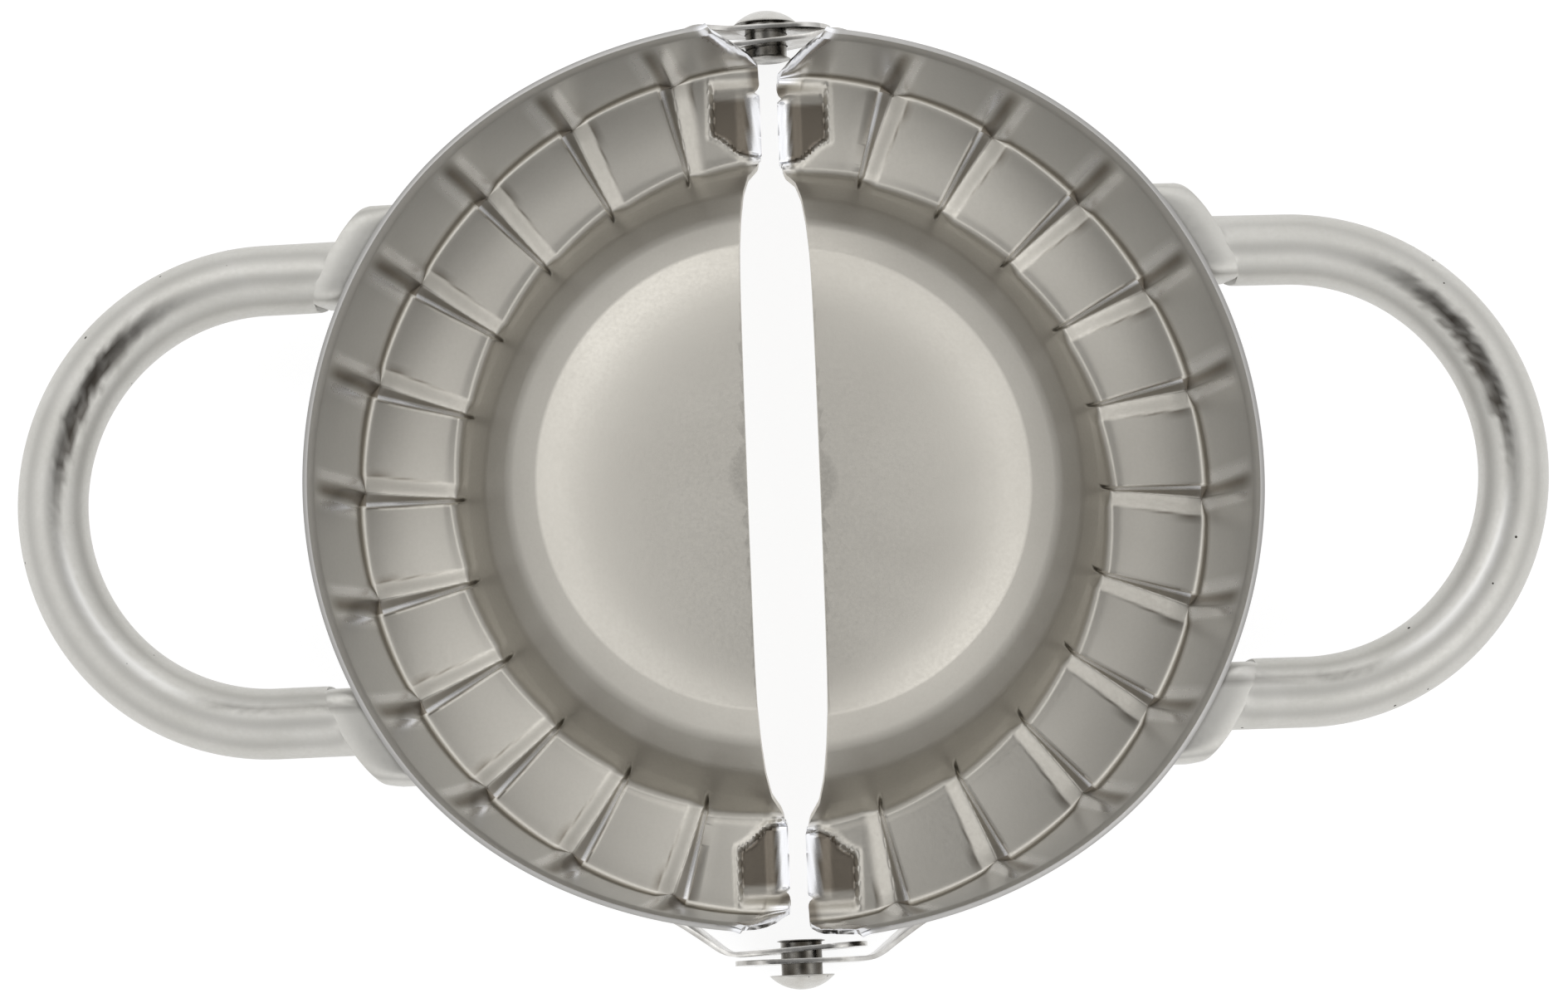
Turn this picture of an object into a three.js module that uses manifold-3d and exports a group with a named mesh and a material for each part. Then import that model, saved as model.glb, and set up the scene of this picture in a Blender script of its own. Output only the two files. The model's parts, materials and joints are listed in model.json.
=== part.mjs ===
// A hand press for sealing dumplings: two stamped steel halves that fold on a pair of loose rivets.
// Each half has a domed pocket, a ring of saw-tooth crimping tiles, a flared skirt and a bent rod
// handle. It lies open on its pressing faces, with the domes up and both halves drooping a little.
// Millimetres. +Z is up, +Y runs along the hinge axis, +X goes from the left half to the right
// half, and the origin is on the table under the middle of the press.
// Every piece of a half is drawn with its hinge axis on the Y axis and its pressing face level.

import * as THREE from "three";
import { mergeVertices } from "three/addons/utils/BufferGeometryUtils.js";
import Module from "manifold-3d";

const wasm = await Module();
wasm.setup();

// Driving sizes of the stamped half
const sheet = 0.55;
const axisDrop = 1.0;
const rimRadius = 49.05;
const skirtHeight = 16.6;
const skirtFlare = 3.15;
const skirtFlareAtHinge = 2.0;
const creaseFillet = 0.9;
const tileRingWidth = 10.9;
const domeFootFillet = 1.3;
const domeWallRun = 10.4;
const crownFillet = 1.5;
const crownHeight = 13.5;
const crownRise = 1.45;

// Crimping tiles
const tilesPerHalf = 12;
const tileRise = 0.3;
const humpHeight = 0.95;
const tileInnerSaw = 0.6;
const reliefFadeIn = 1.3;
const reliefFadeOut = 1.7;

// The cut between the halves, with its lip, the recess in each corner and the notch in the skirt
const splitHalfGap = 2.05;
const lipHalfGap = 0.85;
const lipLength = 2.2;
const lipHeight = 1.3;
const lipTaper = 1.0;
const notchHalfWidth = 6.8;
const recessWidth = 4.2;
const recessDepth = 0.65;
const recessLength = 9.2;
const recessShoulder = 2.6;
const recessWall = 0.7;

// Bent rod handle
const rodDiameter = 7.5;
const rodSpread = 47.3;
const handleBelowRim = 4.55;
const handleLength = 31.6;
const footThickness = 3.0;
const footHeight = 7.6;
const footOverhang = 3.4;
const footInset = 0.4;
const footCorner = 1.4;

// Hinge straps
const strapThickness = 0.5;
const earHalfHeight = 4.0;
const earOvershoot = 7.1;
const earStandoff = 3.9;
const earStart = 7.3;
const jogEnd = 12.6;
const padLength = 6.6;
const padLow = 3.0;
const padHigh = 10.2;
const innerEarSlant = THREE.MathUtils.degToRad(3.2);
const halfOffset = 0.42;

// Rivets
const rivetHeadDiameter = 7.0;
const rivetHeadHeight = 1.8;
const rivetShankDiameter = 4.4;
const rivetFlareDiameter = 5.3;
const rivetFlareLength = 0.35;
const rivetLength = 3.5;
const rivetHoleClearance = 0.13;
const farRivetOut = 0.3;
const nearRivetOut = 0.95;

// Clearances and overruns
const seatGap = 0.3;
const cutOverrun = 3.0;

// How finely curves are drawn, in steps
const filletSteps = 3;
const rodSides = 12;
const rodSteps = 26;
const headSteps = 5;
const latheSteps = 96;
const rivetSteps = 24;
const cornerSteps = 3;

// Shares of a tile's width: its foot, two points of its slow rise, the top of its hump
const tileFootShare = 0;
const tileMiddleShare = 0.4;
const humpStartShare = 0.8;
const humpTopShare = 0.92;
const tileShares = [tileFootShare, tileMiddleShare, humpStartShare, humpTopShare];
// Shares of the recess's width at which a half has extra radial lines
const recessLineShares = [0.3, 0.8, 1.06];
// Shares of the crown's radius at which its dome is drawn, and how late it turns down to its edge
const crownShares = [0, 0.6, 0.85];
const crownPower = 3.6;
// The dome's wall steepens on its way down: shares of its run and of the crown's height
const wallRunShares = [0.38, 0.72];
const wallHeightShares = [0.77, 0.4];
// Shares of the arc from the middle of a half to its hinge where the rim starts and ends pulling in
const rimRoundShare = 0.41;
const rimPulledShare = 0.9;
// Shares of the skirt's height where its profile has a point
const skirtShares = [0.35, 0.7];
// The share of a tile within which a radial line counts as the tile's own foot
const sameLineShare = 1e-6;

const quarterTurn = Math.PI / 2;
const halfTurn = Math.PI;
const tilePitch = halfTurn / tilesPerHalf;
const flangeBack = axisDrop + sheet;
const rimLevel = flangeBack + skirtHeight;
const creaseRadius = rimRadius - skirtFlare;
const rimRadiusAtHinge = creaseRadius + skirtFlareAtHinge;
const domeFootRadius = creaseRadius - tileRingWidth;
const crownRadius = domeFootRadius - domeWallRun;
const earDistance = creaseRadius + earStandoff;
const handleLevel = rimLevel - handleBelowRim;
const handleReach = rimRadius + handleLength;
const rodRadius = rodDiameter / 2;
const recessEdge = splitHalfGap + recessWidth;
const recessOuter = creaseRadius - creaseFillet;
const recessInner = recessOuter - recessLength + recessWall;

// The press lies on both creases and on the ears of its hinge, which sets how far it droops
const creaseFlatRadius = creaseRadius - creaseFillet;
const outerFillet = creaseFillet + sheet;
const creaseDrop = axisDrop + outerFillet + earHalfHeight;
const droop = Math.acos(outerFillet / Math.hypot(creaseDrop, creaseFlatRadius))
  - Math.atan2(creaseFlatRadius, creaseDrop);
const axisLevel = earHalfHeight * Math.cos(droop);

// Colours
const finishes = {
  shell: new THREE.MeshStandardMaterial({ color: 0x9a9690, roughness: 0.38, metalness: 1.0 }),
  rod: new THREE.MeshStandardMaterial({ color: 0xc4c1bb, roughness: 0.3, metalness: 1.0 }),
  strap: new THREE.MeshStandardMaterial({ color: 0xb4b1ab, roughness: 0.32, metalness: 1.0 }),
  rivet: new THREE.MeshStandardMaterial({ color: 0xa9a6a0, roughness: 0.35, metalness: 1.0 }),
};

// A closed geometry as a solid that can be cut and joined
function solidOf(geometry) {
  const bare = geometry.index ? geometry.clone() : geometry;
  bare.deleteAttribute("normal");
  bare.deleteAttribute("uv");
  const merged = mergeVertices(bare);
  return new wasm.Manifold(new wasm.Mesh({
    numProp: 3,
    vertProperties: new Float32Array(merged.attributes.position.array),
    triVerts: new Uint32Array(merged.index.array),
  }));
}

function geometryOf(solid) {
  const mesh = solid.getMesh();
  const geometry = new THREE.BufferGeometry();
  geometry.setAttribute("position", new THREE.BufferAttribute(new Float32Array(mesh.vertProperties), 3));
  geometry.setIndex(new THREE.BufferAttribute(new Uint32Array(mesh.triVerts), 1));
  geometry.computeVertexNormals();
  return geometry;
}

// A plan outline pushed up from one level to another
function planPrism(points, low, high) {
  const shape = new THREE.Shape(points);
  const options = { depth: high - low, bevelEnabled: false, curveSegments: cornerSteps };
  const geometry = new THREE.ExtrudeGeometry(shape, options);
  geometry.translate(0, 0, low);
  return solidOf(geometry);
}

// A side outline, in X and Z, pushed along Y from one place to another
function sidePrism(shape, near, far) {
  const options = { depth: far - near, bevelEnabled: false, curveSegments: cornerSteps };
  const geometry = new THREE.ExtrudeGeometry(shape, options);
  geometry.rotateX(quarterTurn);
  geometry.translate(0, far, 0);
  return solidOf(geometry);
}

// A closed outline turned about the Z axis
function turned(points, steps) {
  const geometry = new THREE.LatheGeometry([...points, points[0]], steps);
  geometry.rotateX(quarterTurn);
  return solidOf(geometry);
}

function smoothShare(value, from, to) {
  return THREE.MathUtils.smoothstep(value, from, to);
}

// How far the rim reaches at an angle from the middle of a half
function rimRadiusAt(angle) {
  const share = Math.abs(angle) / quarterTurn;
  const pulled = smoothShare(share, rimRoundShare, rimPulledShare);
  return THREE.MathUtils.lerp(rimRadius, rimRadiusAtHinge, pulled);
}

// The place within its tile, from 0 at its foot to 1 where the next tile starts
function tileShareAt(angle) {
  const turns = (angle + quarterTurn) / tilePitch;
  return Math.max(turns - Math.floor(turns + sameLineShare), 0);
}

// The saw-tooth height of a tile: a slow rise, a hump and a steep step down to the next tile
function tileHeight(share) {
  if (share <= humpStartShare) {
    return tileRise * share / humpStartShare;
  }
  if (share <= humpTopShare) {
    const climb = smoothShare(share, humpStartShare, humpTopShare);
    return THREE.MathUtils.lerp(tileRise, humpHeight, climb);
  }
  return humpHeight * (1 - (share - humpTopShare) / (1 - humpTopShare));
}

// How much of the recess shows at a place in a half, from 0 to 1
function recessShare(x, y) {
  const along = Math.abs(y);
  const shoulder = smoothShare(x, splitHalfGap, recessEdge);
  const innerEdge = recessInner + recessShoulder * shoulder;
  const side = 1 - smoothShare(x, recessEdge - recessWall, recessEdge);
  return side * smoothShare(along, innerEdge - recessWall, innerEdge);
}

// Points of an outline whose corners may be rounded
function rounded(corners) {
  return corners.flatMap((corner, index) => {
    const here = new THREE.Vector2(corner.r, corner.h);
    if (!corner.fillet) {
      return [here];
    }
    const before = new THREE.Vector2(corners[index - 1].r, corners[index - 1].h).sub(here).normalize();
    const after = new THREE.Vector2(corners[index + 1].r, corners[index + 1].h).sub(here).normalize();
    const halfAngle = Math.acos(before.dot(after)) / 2;
    const middle = before.clone().add(after).normalize();
    const centre = here.clone().addScaledVector(middle, corner.fillet / Math.sin(halfAngle));
    const start = here.clone().addScaledVector(before, corner.fillet / Math.tan(halfAngle)).sub(centre);
    const end = here.clone().addScaledVector(after, corner.fillet / Math.tan(halfAngle)).sub(centre);
    const sweep = Math.atan2(start.cross(end), start.dot(end));
    return Array.from({ length: filletSteps + 1 }, (_, step) => {
      const turn = sweep * step / filletSteps;
      return start.clone().rotateAround(new THREE.Vector2(), turn).add(centre);
    });
  });
}

// The back of the sheet along one radial line, from the pole of the crown to the rim
function profileAt(angle) {
  const share = tileShareAt(angle);
  const foot = domeFootRadius + tileInnerSaw * (humpStartShare / 2 - Math.min(share, humpStartShare));
  const crown = crownShares.map((crownShare) => ({
    r: crownRadius * crownShare,
    h: crownHeight + crownRise * (1 - crownShare ** crownPower),
  }));
  const wall = wallRunShares.map((runShare, index) => ({
    r: THREE.MathUtils.lerp(crownRadius, foot, runShare),
    h: crownHeight * wallHeightShares[index],
  }));
  const rim = rimRadiusAt(angle) - sheet;
  const skirt = [...skirtShares, 1].map((skirtShare) => ({
    r: THREE.MathUtils.lerp(creaseRadius, rim, skirtShare),
    h: skirtHeight * skirtShare,
  }));
  const flat = [foot + domeFootFillet + reliefFadeIn, recessInner + recessShoulder,
    creaseFlatRadius - reliefFadeOut];
  return rounded([
    ...crown,
    { r: crownRadius, h: crownHeight, fillet: crownFillet },
    ...wall,
    { r: foot, h: 0, fillet: domeFootFillet },
    ...flat.map((r) => ({ r, h: 0 })),
    { r: creaseRadius, h: 0, fillet: creaseFillet },
    ...skirt,
  ]);
}

// How much of the tile relief stands at a point of the profile
function reliefShare(point) {
  const inner = smoothShare(point.x, domeFootRadius, domeFootRadius + domeFootFillet + reliefFadeIn);
  const outer = 1 - smoothShare(point.x, creaseFlatRadius - reliefFadeOut, creaseRadius + reliefFadeOut / 2);
  const low = 1 - smoothShare(point.y, 0, reliefFadeOut);
  return inner * outer * low;
}

// The other face of the sheet: each point moved by the thickness, square to the profile
function offsetBySheet(points) {
  return points.map((point, index) => {
    const before = points[index - 1] ?? new THREE.Vector2(-points[1].x, points[1].y);
    const after = points[index + 1] ?? point.clone().multiplyScalar(2).sub(before);
    const into = point.clone().sub(before).normalize();
    const onward = after.clone().sub(point).normalize();
    const along = into.clone().add(onward).normalize();
    const across = new THREE.Vector2(along.y, -along.x);
    return point.clone().addScaledVector(across, sheet / along.dot(into));
  });
}

// Radial lines: the tiles' own, and a few more across the recess at each hinge
function radialLines() {
  const tiles = Array.from({ length: tilesPerHalf }, (_, tile) =>
    tileShares.map((share) => -quarterTurn + (tile + share) * tilePitch)).flat();
  const middle = (recessInner + recessOuter) / 2;
  const extra = recessLineShares.flatMap((share) => {
    const turn = Math.atan2(recessEdge * share, middle);
    return [quarterTurn - turn, turn - quarterTurn];
  });
  const lines = [...tiles, ...extra, quarterTurn].sort((a, b) => a - b);
  const closest = tilePitch * (1 - humpTopShare) / 2;
  return lines.filter((line, index) => index === 0 || line - lines[index - 1] > closest);
}

// The whole stamping before its split is trimmed: half a disc, with its straight side on the axis
function stamping() {
  const lines = radialLines();
  const columns = lines.map((angle) => {
    const back = profileAt(angle);
    const front = offsetBySheet(back);
    const lift = back.map((point) => {
      const place = new THREE.Vector2(point.x * Math.cos(angle), point.x * Math.sin(angle));
      const recess = recessShare(place.x, place.y) * (1 - smoothShare(point.y, 0, reliefFadeOut));
      const tile = tileHeight(tileShareAt(angle)) * reliefShare(point);
      return tile * (1 - recess) - recessDepth * recess;
    });
    const place = (point, index) => [
      point.x * Math.cos(angle),
      point.x * Math.sin(angle),
      flangeBack + point.y + lift[index],
    ];
    return { back: back.map(place), front: front.map(place) };
  });
  const stations = columns[0].back.length;
  const faces = ["back", "front"];
  const positions = columns.flatMap((column) => faces.flatMap((face) => column[face])).flat();
  const at = (column, face, station) => (column * faces.length + face) * stations + station;
  const triangles = [];
  const quad = (a, b, c, d) => triangles.push(a, b, c, a, c, d);
  const last = lines.length - 1;
  for (let column = 0; column < last; column += 1) {
    for (let station = 0; station < stations - 1; station += 1) {
      quad(at(column, 0, station), at(column, 0, station + 1),
        at(column + 1, 0, station + 1), at(column + 1, 0, station));
      quad(at(column, 1, station), at(column + 1, 1, station),
        at(column + 1, 1, station + 1), at(column, 1, station + 1));
    }
    quad(at(column, 0, stations - 1), at(column, 1, stations - 1),
      at(column + 1, 1, stations - 1), at(column + 1, 0, stations - 1));
  }
  for (let station = 0; station < stations - 1; station += 1) {
    quad(at(0, 0, station), at(0, 1, station), at(0, 1, station + 1), at(0, 0, station + 1));
    quad(at(last, 0, station), at(last, 0, station + 1), at(last, 1, station + 1), at(last, 1, station));
  }
  const geometry = new THREE.BufferGeometry();
  geometry.setAttribute("position", new THREE.Float32BufferAttribute(positions, 3));
  geometry.setIndex(triangles);
  return solidOf(withoutSlivers(geometry));
}

// Triangles that have shrunk to a line at the pole are left out
function withoutSlivers(geometry) {
  const merged = mergeVertices(geometry);
  const index = merged.index.array;
  const kept = [];
  for (let start = 0; start < index.length; start += 3) {
    const [a, b, c] = index.slice(start, start + 3);
    if (a !== b && b !== c && c !== a) {
      kept.push(a, b, c);
    }
  }
  merged.setIndex(kept);
  return merged;
}

// What is trimmed off along the split: wide between the pockets, narrow at the lips by the hinges
function splitTrim() {
  const reach = rimRadius + cutOverrun;
  const lipStart = creaseRadius - lipLength;
  const taperStart = lipStart - lipTaper;
  const side = [
    [splitHalfGap, 0],
    [splitHalfGap, taperStart],
    [lipHalfGap, lipStart],
    [lipHalfGap, reach],
  ];
  const mirrored = side.map(([x, y]) => [x, -y]).reverse();
  const outline = [[-cutOverrun, -reach], ...mirrored, ...side.slice(1), [-cutOverrun, reach]];
  const points = outline.map(([x, y]) => new THREE.Vector2(x, y));
  return planPrism(points, axisDrop - recessDepth - cutOverrun, rimLevel + cutOverrun);
}

// The slanted cut that opens the skirt towards its rim at both hinges
function skirtNotch() {
  const low = flangeBack + lipHeight;
  const slope = (notchHalfWidth - lipHalfGap) / (rimLevel - low);
  const top = rimLevel + cutOverrun;
  const shape = new THREE.Shape([
    new THREE.Vector2(-cutOverrun, low),
    new THREE.Vector2(lipHalfGap, low),
    new THREE.Vector2(lipHalfGap + slope * (top - low), top),
    new THREE.Vector2(-cutOverrun, top),
  ]);
  const start = creaseRadius - lipLength;
  const far = sidePrism(shape, start, rimRadius + cutOverrun);
  const near = sidePrism(shape, -rimRadius - cutOverrun, -start);
  return far.add(near);
}

function makeShell() {
  return stamping().subtract(splitTrim()).subtract(skirtNotch());
}

// The radius of the skirt's outer face at a level, for a rim of a given radius
function skirtOuterRadius(level, rim) {
  const share = (level - flangeBack) / skirtHeight;
  const back = THREE.MathUtils.lerp(creaseRadius, rim - sheet, share);
  const slant = Math.atan2(rim - sheet - creaseRadius, skirtHeight);
  return back + sheet / Math.cos(slant);
}

// A band that follows the skirt's outer face, a gap away from it
function skirtBand(rim, gap, thickness, low, high) {
  const inner = (level) => skirtOuterRadius(level, rim) + gap;
  return turned([
    new THREE.Vector2(inner(low), low),
    new THREE.Vector2(inner(low) + thickness, low),
    new THREE.Vector2(inner(high) + thickness, high),
    new THREE.Vector2(inner(high), high),
  ], latheSteps);
}

// Everything inside the skirt's outer face and the gap that is kept to it
function skirtCore(rim, gap, low, high) {
  const outer = (level) => skirtOuterRadius(level, rim) + gap;
  return turned([
    new THREE.Vector2(0, low),
    new THREE.Vector2(outer(low), low),
    new THREE.Vector2(outer(high), high),
    new THREE.Vector2(0, high),
  ], latheSteps);
}

// A rectangle with rounded corners, in any plane
function roundedRectangle(left, right, low, high, corner) {
  const shape = new THREE.Shape();
  shape.moveTo(left + corner, low);
  shape.lineTo(right - corner, low);
  shape.absarc(right - corner, low + corner, corner, -quarterTurn, 0);
  shape.lineTo(right, high - corner);
  shape.absarc(right - corner, high - corner, corner, 0, quarterTurn);
  shape.lineTo(left + corner, high);
  shape.absarc(left + corner, high - corner, corner, quarterTurn, halfTurn);
  shape.lineTo(left, low + corner);
  shape.absarc(left + corner, low + corner, corner, halfTurn, halfTurn + quarterTurn);
  return shape;
}

// The rod: out of one foot, round the bend and back into the other foot
function makeHandle() {
  const bendRadius = rodSpread / 2;
  const bendCentre = handleReach - rodRadius - bendRadius;
  const footX = Math.sqrt((creaseRadius - rodRadius) ** 2 - bendRadius ** 2);
  const path = new THREE.CurvePath();
  const centre = new THREE.Vector3(bendCentre, 0, handleLevel);
  const corner = (x, y) => new THREE.Vector3(x, y, handleLevel);
  path.add(new THREE.LineCurve3(corner(footX, -bendRadius), corner(bendCentre, -bendRadius)));
  path.add(new HalfBend(centre, bendRadius));
  path.add(new THREE.LineCurve3(corner(bendCentre, bendRadius), corner(footX, bendRadius)));
  const section = new THREE.Shape();
  section.absarc(0, 0, rodRadius, 0, 2 * halfTurn);
  const options = { steps: rodSteps, curveSegments: rodSides, extrudePath: path };
  const rod = solidOf(new THREE.ExtrudeGeometry(section, options));
  const low = handleLevel - footHeight / 2;
  const high = handleLevel + footHeight / 2;
  const band = skirtBand(rimRadius, seatGap, footThickness, low - cutOverrun, high + cutOverrun);
  const feet = [1, -1].map((side) => {
    const from = bendRadius - rodRadius + footInset;
    const to = bendRadius + rodRadius + footOverhang;
    const [left, right] = side > 0 ? [from, to] : [-to, -from];
    const outline = roundedRectangle(left, right, low, high, footCorner);
    const padOptions = { depth: rimRadius, bevelEnabled: false, curveSegments: cornerSteps };
    const pad = new THREE.ExtrudeGeometry(outline, padOptions);
    pad.rotateZ(quarterTurn);
    pad.rotateY(quarterTurn);
    pad.translate(rodRadius, 0, 0);
    return solidOf(pad).intersect(band);
  });
  const core = skirtCore(rimRadius, seatGap, low - cutOverrun, high + cutOverrun);
  return rod.add(feet[0]).add(feet[1]).subtract(core);
}

// Half a turn in a level plane, from the near side round to the far side
class HalfBend extends THREE.Curve {
  constructor(centre, radius) {
    super();
    this.centre = centre;
    this.radius = radius;
  }

  getPoint(share, target = new THREE.Vector3()) {
    const turn = -quarterTurn + halfTurn * share;
    return target.set(Math.cos(turn), Math.sin(turn), 0).multiplyScalar(this.radius).add(this.centre);
  }
}

// The strap's side outline: a round end about the rivet, an arm and the raised pad
function strapOutline() {
  const shape = new THREE.Shape();
  const padEnd = jogEnd + padLength;
  const endCentre = earHalfHeight - earOvershoot;
  shape.moveTo(endCentre, -earHalfHeight);
  shape.lineTo(0, -earHalfHeight);
  shape.lineTo(jogEnd, padLow);
  shape.lineTo(padEnd, padLow);
  shape.lineTo(padEnd, padHigh);
  shape.lineTo(jogEnd, padHigh);
  shape.lineTo(earStart / 2, earHalfHeight);
  shape.lineTo(endCentre, earHalfHeight);
  shape.absarc(endCentre, 0, earHalfHeight, quarterTurn, halfTurn + quarterTurn);
  return shape;
}

// A hinge strap at the far end of a half: welded pad, joggle and ear with its rivet hole
function makeStrap(slant, earPlace) {
  const padMiddle = (padLow + padHigh) / 2;
  const padRadius = skirtOuterRadius(padMiddle, rimRadiusAtHinge) + seatGap + strapThickness / 2;
  const jogRadius = Math.sqrt(padRadius ** 2 - jogEnd ** 2);
  const half = strapThickness / 2;
  const tipDrop = (earStart + earOvershoot) * Math.tan(slant);
  const centreLine = [
    new THREE.Vector2(-earOvershoot, earPlace - tipDrop),
    new THREE.Vector2(earStart, earPlace),
    new THREE.Vector2(jogEnd, jogRadius),
  ];
  const outer = offsetLine(centreLine, half);
  const inner = offsetLine(centreLine, -half).reverse();
  const arm = planPrism([...outer, ...inner].reverse(), -earHalfHeight, padHigh);
  const band = skirtBand(rimRadiusAtHinge, seatGap, strapThickness, padLow - cutOverrun, padHigh + cutOverrun);
  const padStart = jogEnd - strapThickness;
  const padShape = roundedRectangle(padStart, jogEnd + padLength, padLow, padHigh, strapThickness);
  const pad = band.intersect(sidePrism(padShape, 0, rimRadius + cutOverrun));
  const sideShape = strapOutline();
  const whole = arm.intersect(sidePrism(sideShape, 0, rimRadius + cutOverrun)).add(pad);
  const core = skirtCore(rimRadiusAtHinge, seatGap, padLow - cutOverrun, padHigh + cutOverrun);
  const holeRadius = rivetShankDiameter / 2 + rivetHoleClearance;
  const hole = new THREE.CylinderGeometry(holeRadius, holeRadius, 2 * cutOverrun, rivetSteps);
  hole.translate(0, earPlace, 0);
  return whole.subtract(core).subtract(solidOf(hole));
}

// An open line moved sideways by a distance, with its corners kept square to both sides
function offsetLine(points, distance) {
  return points.map((point, index) => {
    const before = points[Math.max(index - 1, 0)];
    const after = points[Math.min(index + 1, points.length - 1)];
    const into = index === 0 ? after.clone().sub(point) : point.clone().sub(before);
    const onward = index === points.length - 1 ? point.clone().sub(before) : after.clone().sub(point);
    const along = into.clone().normalize().add(onward.clone().normalize()).normalize();
    const stretch = 1 / along.dot(into.clone().normalize());
    return point.clone().add(new THREE.Vector2(-along.y, along.x).multiplyScalar(distance * stretch));
  });
}

// A loose rivet on the hinge axis, its head outwards: domed head, shank and flared inner end
function makeRivet(headPlace) {
  const headRadius = rivetHeadDiameter / 2;
  const shankRadius = rivetShankDiameter / 2;
  const domeRadius = (headRadius ** 2 + rivetHeadHeight ** 2) / (2 * rivetHeadHeight);
  const sweep = Math.asin(headRadius / domeRadius);
  const headTop = headPlace + rivetHeadHeight;
  const dome = Array.from({ length: headSteps + 1 }, (_, step) => {
    const turn = sweep * (1 - step / headSteps);
    return new THREE.Vector2(domeRadius * Math.sin(turn), headTop - domeRadius * (1 - Math.cos(turn)));
  });
  const innerEnd = headPlace - rivetLength;
  const outline = [
    new THREE.Vector2(0, innerEnd),
    new THREE.Vector2(rivetFlareDiameter / 2, innerEnd),
    new THREE.Vector2(shankRadius, innerEnd + rivetFlareLength),
    new THREE.Vector2(shankRadius, headPlace),
    ...dome,
  ];
  return new THREE.LatheGeometry([...outline, outline[0]], rivetSteps);
}

// The same piece mirrored to the near end
function mirrored(geometry) {
  const copy = geometry.clone();
  copy.scale(1, -1, 1);
  const index = Array.from(copy.index.array);
  copy.setIndex(index.reverse());
  copy.computeVertexNormals();
  return copy;
}

function named(name, geometry, material) {
  const mesh = new THREE.Mesh(geometry, material);
  mesh.name = name;
  return mesh;
}

// A half with all that is welded to it: its inner strap is at the far end as it is drawn
function makeHalf(side, farEnd, nearEnd) {
  const half = new THREE.Group();
  half.add(
    named(`${side}_shell`, shellGeometry, finishes.shell),
    named(`${side}_handle`, handleGeometry, finishes.rod),
    named(`${side}_hinge_strap_${farEnd}`, innerStrapGeometry, finishes.strap),
    named(`${side}_hinge_strap_${nearEnd}`, outerStrapGeometry, finishes.strap),
  );
  half.position.y = -halfOffset;
  half.rotation.y = droop;
  return half;
}

const shellGeometry = geometryOf(makeShell());
const handleGeometry = geometryOf(makeHandle());
const innerStrapGeometry = geometryOf(makeStrap(innerEarSlant, earDistance));
const outerStrapGeometry = mirrored(geometryOf(makeStrap(0, earDistance)));

const outerEarFace = earDistance + halfOffset + strapThickness / 2;
const farRivet = named("rivet_far", makeRivet(outerEarFace + farRivetOut), finishes.rivet);
const nearRivet = named("rivet_near", makeRivet(outerEarFace + nearRivetOut), finishes.rivet);
nearRivet.rotation.z = halfTurn;

const rightHalf = makeHalf("right", "far", "near");
const leftHalf = new THREE.Group();
leftHalf.add(makeHalf("left", "near", "far"));
leftHalf.rotation.z = halfTurn;

const press = new THREE.Group();
press.add(leftHalf, rightHalf, farRivet, nearRivet);
press.position.set(0, (nearRivetOut - farRivetOut) / 2, axisLevel);

const part = new THREE.Group();
part.add(press);

export default part;
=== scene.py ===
"""Looks of a folding dumpling press: two stamped steel halves on loose rivets, each with a rod handle.

Every piece of a half is modelled in millimetres with its hinge axis on Y, its pressing face level and
its dome up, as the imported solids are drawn. HalfPlacement then brings it to its place, in metres.
"""

import json
import logging
import math
from dataclasses import dataclass, field
from enum import Enum
from itertools import pairwise
from typing import Callable

import bmesh
import bpy
from mathutils import Matrix, Vector, noise


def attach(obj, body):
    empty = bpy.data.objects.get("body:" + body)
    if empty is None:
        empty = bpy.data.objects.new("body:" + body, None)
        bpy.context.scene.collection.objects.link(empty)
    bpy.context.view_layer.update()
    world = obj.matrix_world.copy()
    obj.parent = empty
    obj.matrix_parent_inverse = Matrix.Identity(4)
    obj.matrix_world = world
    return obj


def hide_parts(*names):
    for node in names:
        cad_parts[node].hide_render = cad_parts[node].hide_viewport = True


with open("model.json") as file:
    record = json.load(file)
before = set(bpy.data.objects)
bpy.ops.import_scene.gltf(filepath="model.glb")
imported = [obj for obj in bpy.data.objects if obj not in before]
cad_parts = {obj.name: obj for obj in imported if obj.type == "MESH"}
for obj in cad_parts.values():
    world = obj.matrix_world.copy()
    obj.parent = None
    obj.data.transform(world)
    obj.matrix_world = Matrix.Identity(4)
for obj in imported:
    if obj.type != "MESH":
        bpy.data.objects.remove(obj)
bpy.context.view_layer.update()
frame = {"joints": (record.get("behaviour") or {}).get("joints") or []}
LOG = logging.getLogger("dumpling_press")
MILLIMETRE = 0.001
TOUCH = 1e-2
HAIR = 1e-3
SPECK = 1e-6
WHITE = (1.0, 1.0, 1.0)
MIX_INPUTS = (0, 6, 7)
MIX_OUTPUT = 2
SHARP_EDGE = 60.0
UP = Vector((0.0, 0.0, 1.0))
AHEAD = Vector((0.0, 1.0, 0.0))

Piece = bpy.types.Object
Tree = bpy.types.NodeTree
Socket = bpy.types.NodeSocket
Colour = tuple[float, float, float]
Stretch = tuple[float, float]
Window = tuple[float, float, float, float]
Spread = tuple[tuple[int, float], ...]


class Side(Enum):
    """The two halves of the press, with the turn about Z that brings the drawn half to its side."""

    RIGHT = 0.0
    LEFT = math.pi


class End(Enum):
    """The two ends of the hinge axis, with the turn about Z that brings the drawn piece to its end."""

    FAR = 0.0
    NEAR = math.pi


class Pick(Enum):
    """Which elements of a mesh a selection takes."""

    VERTS = "VERT"
    EDGES = "EDGE"
    FACES = "FACE"


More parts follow.
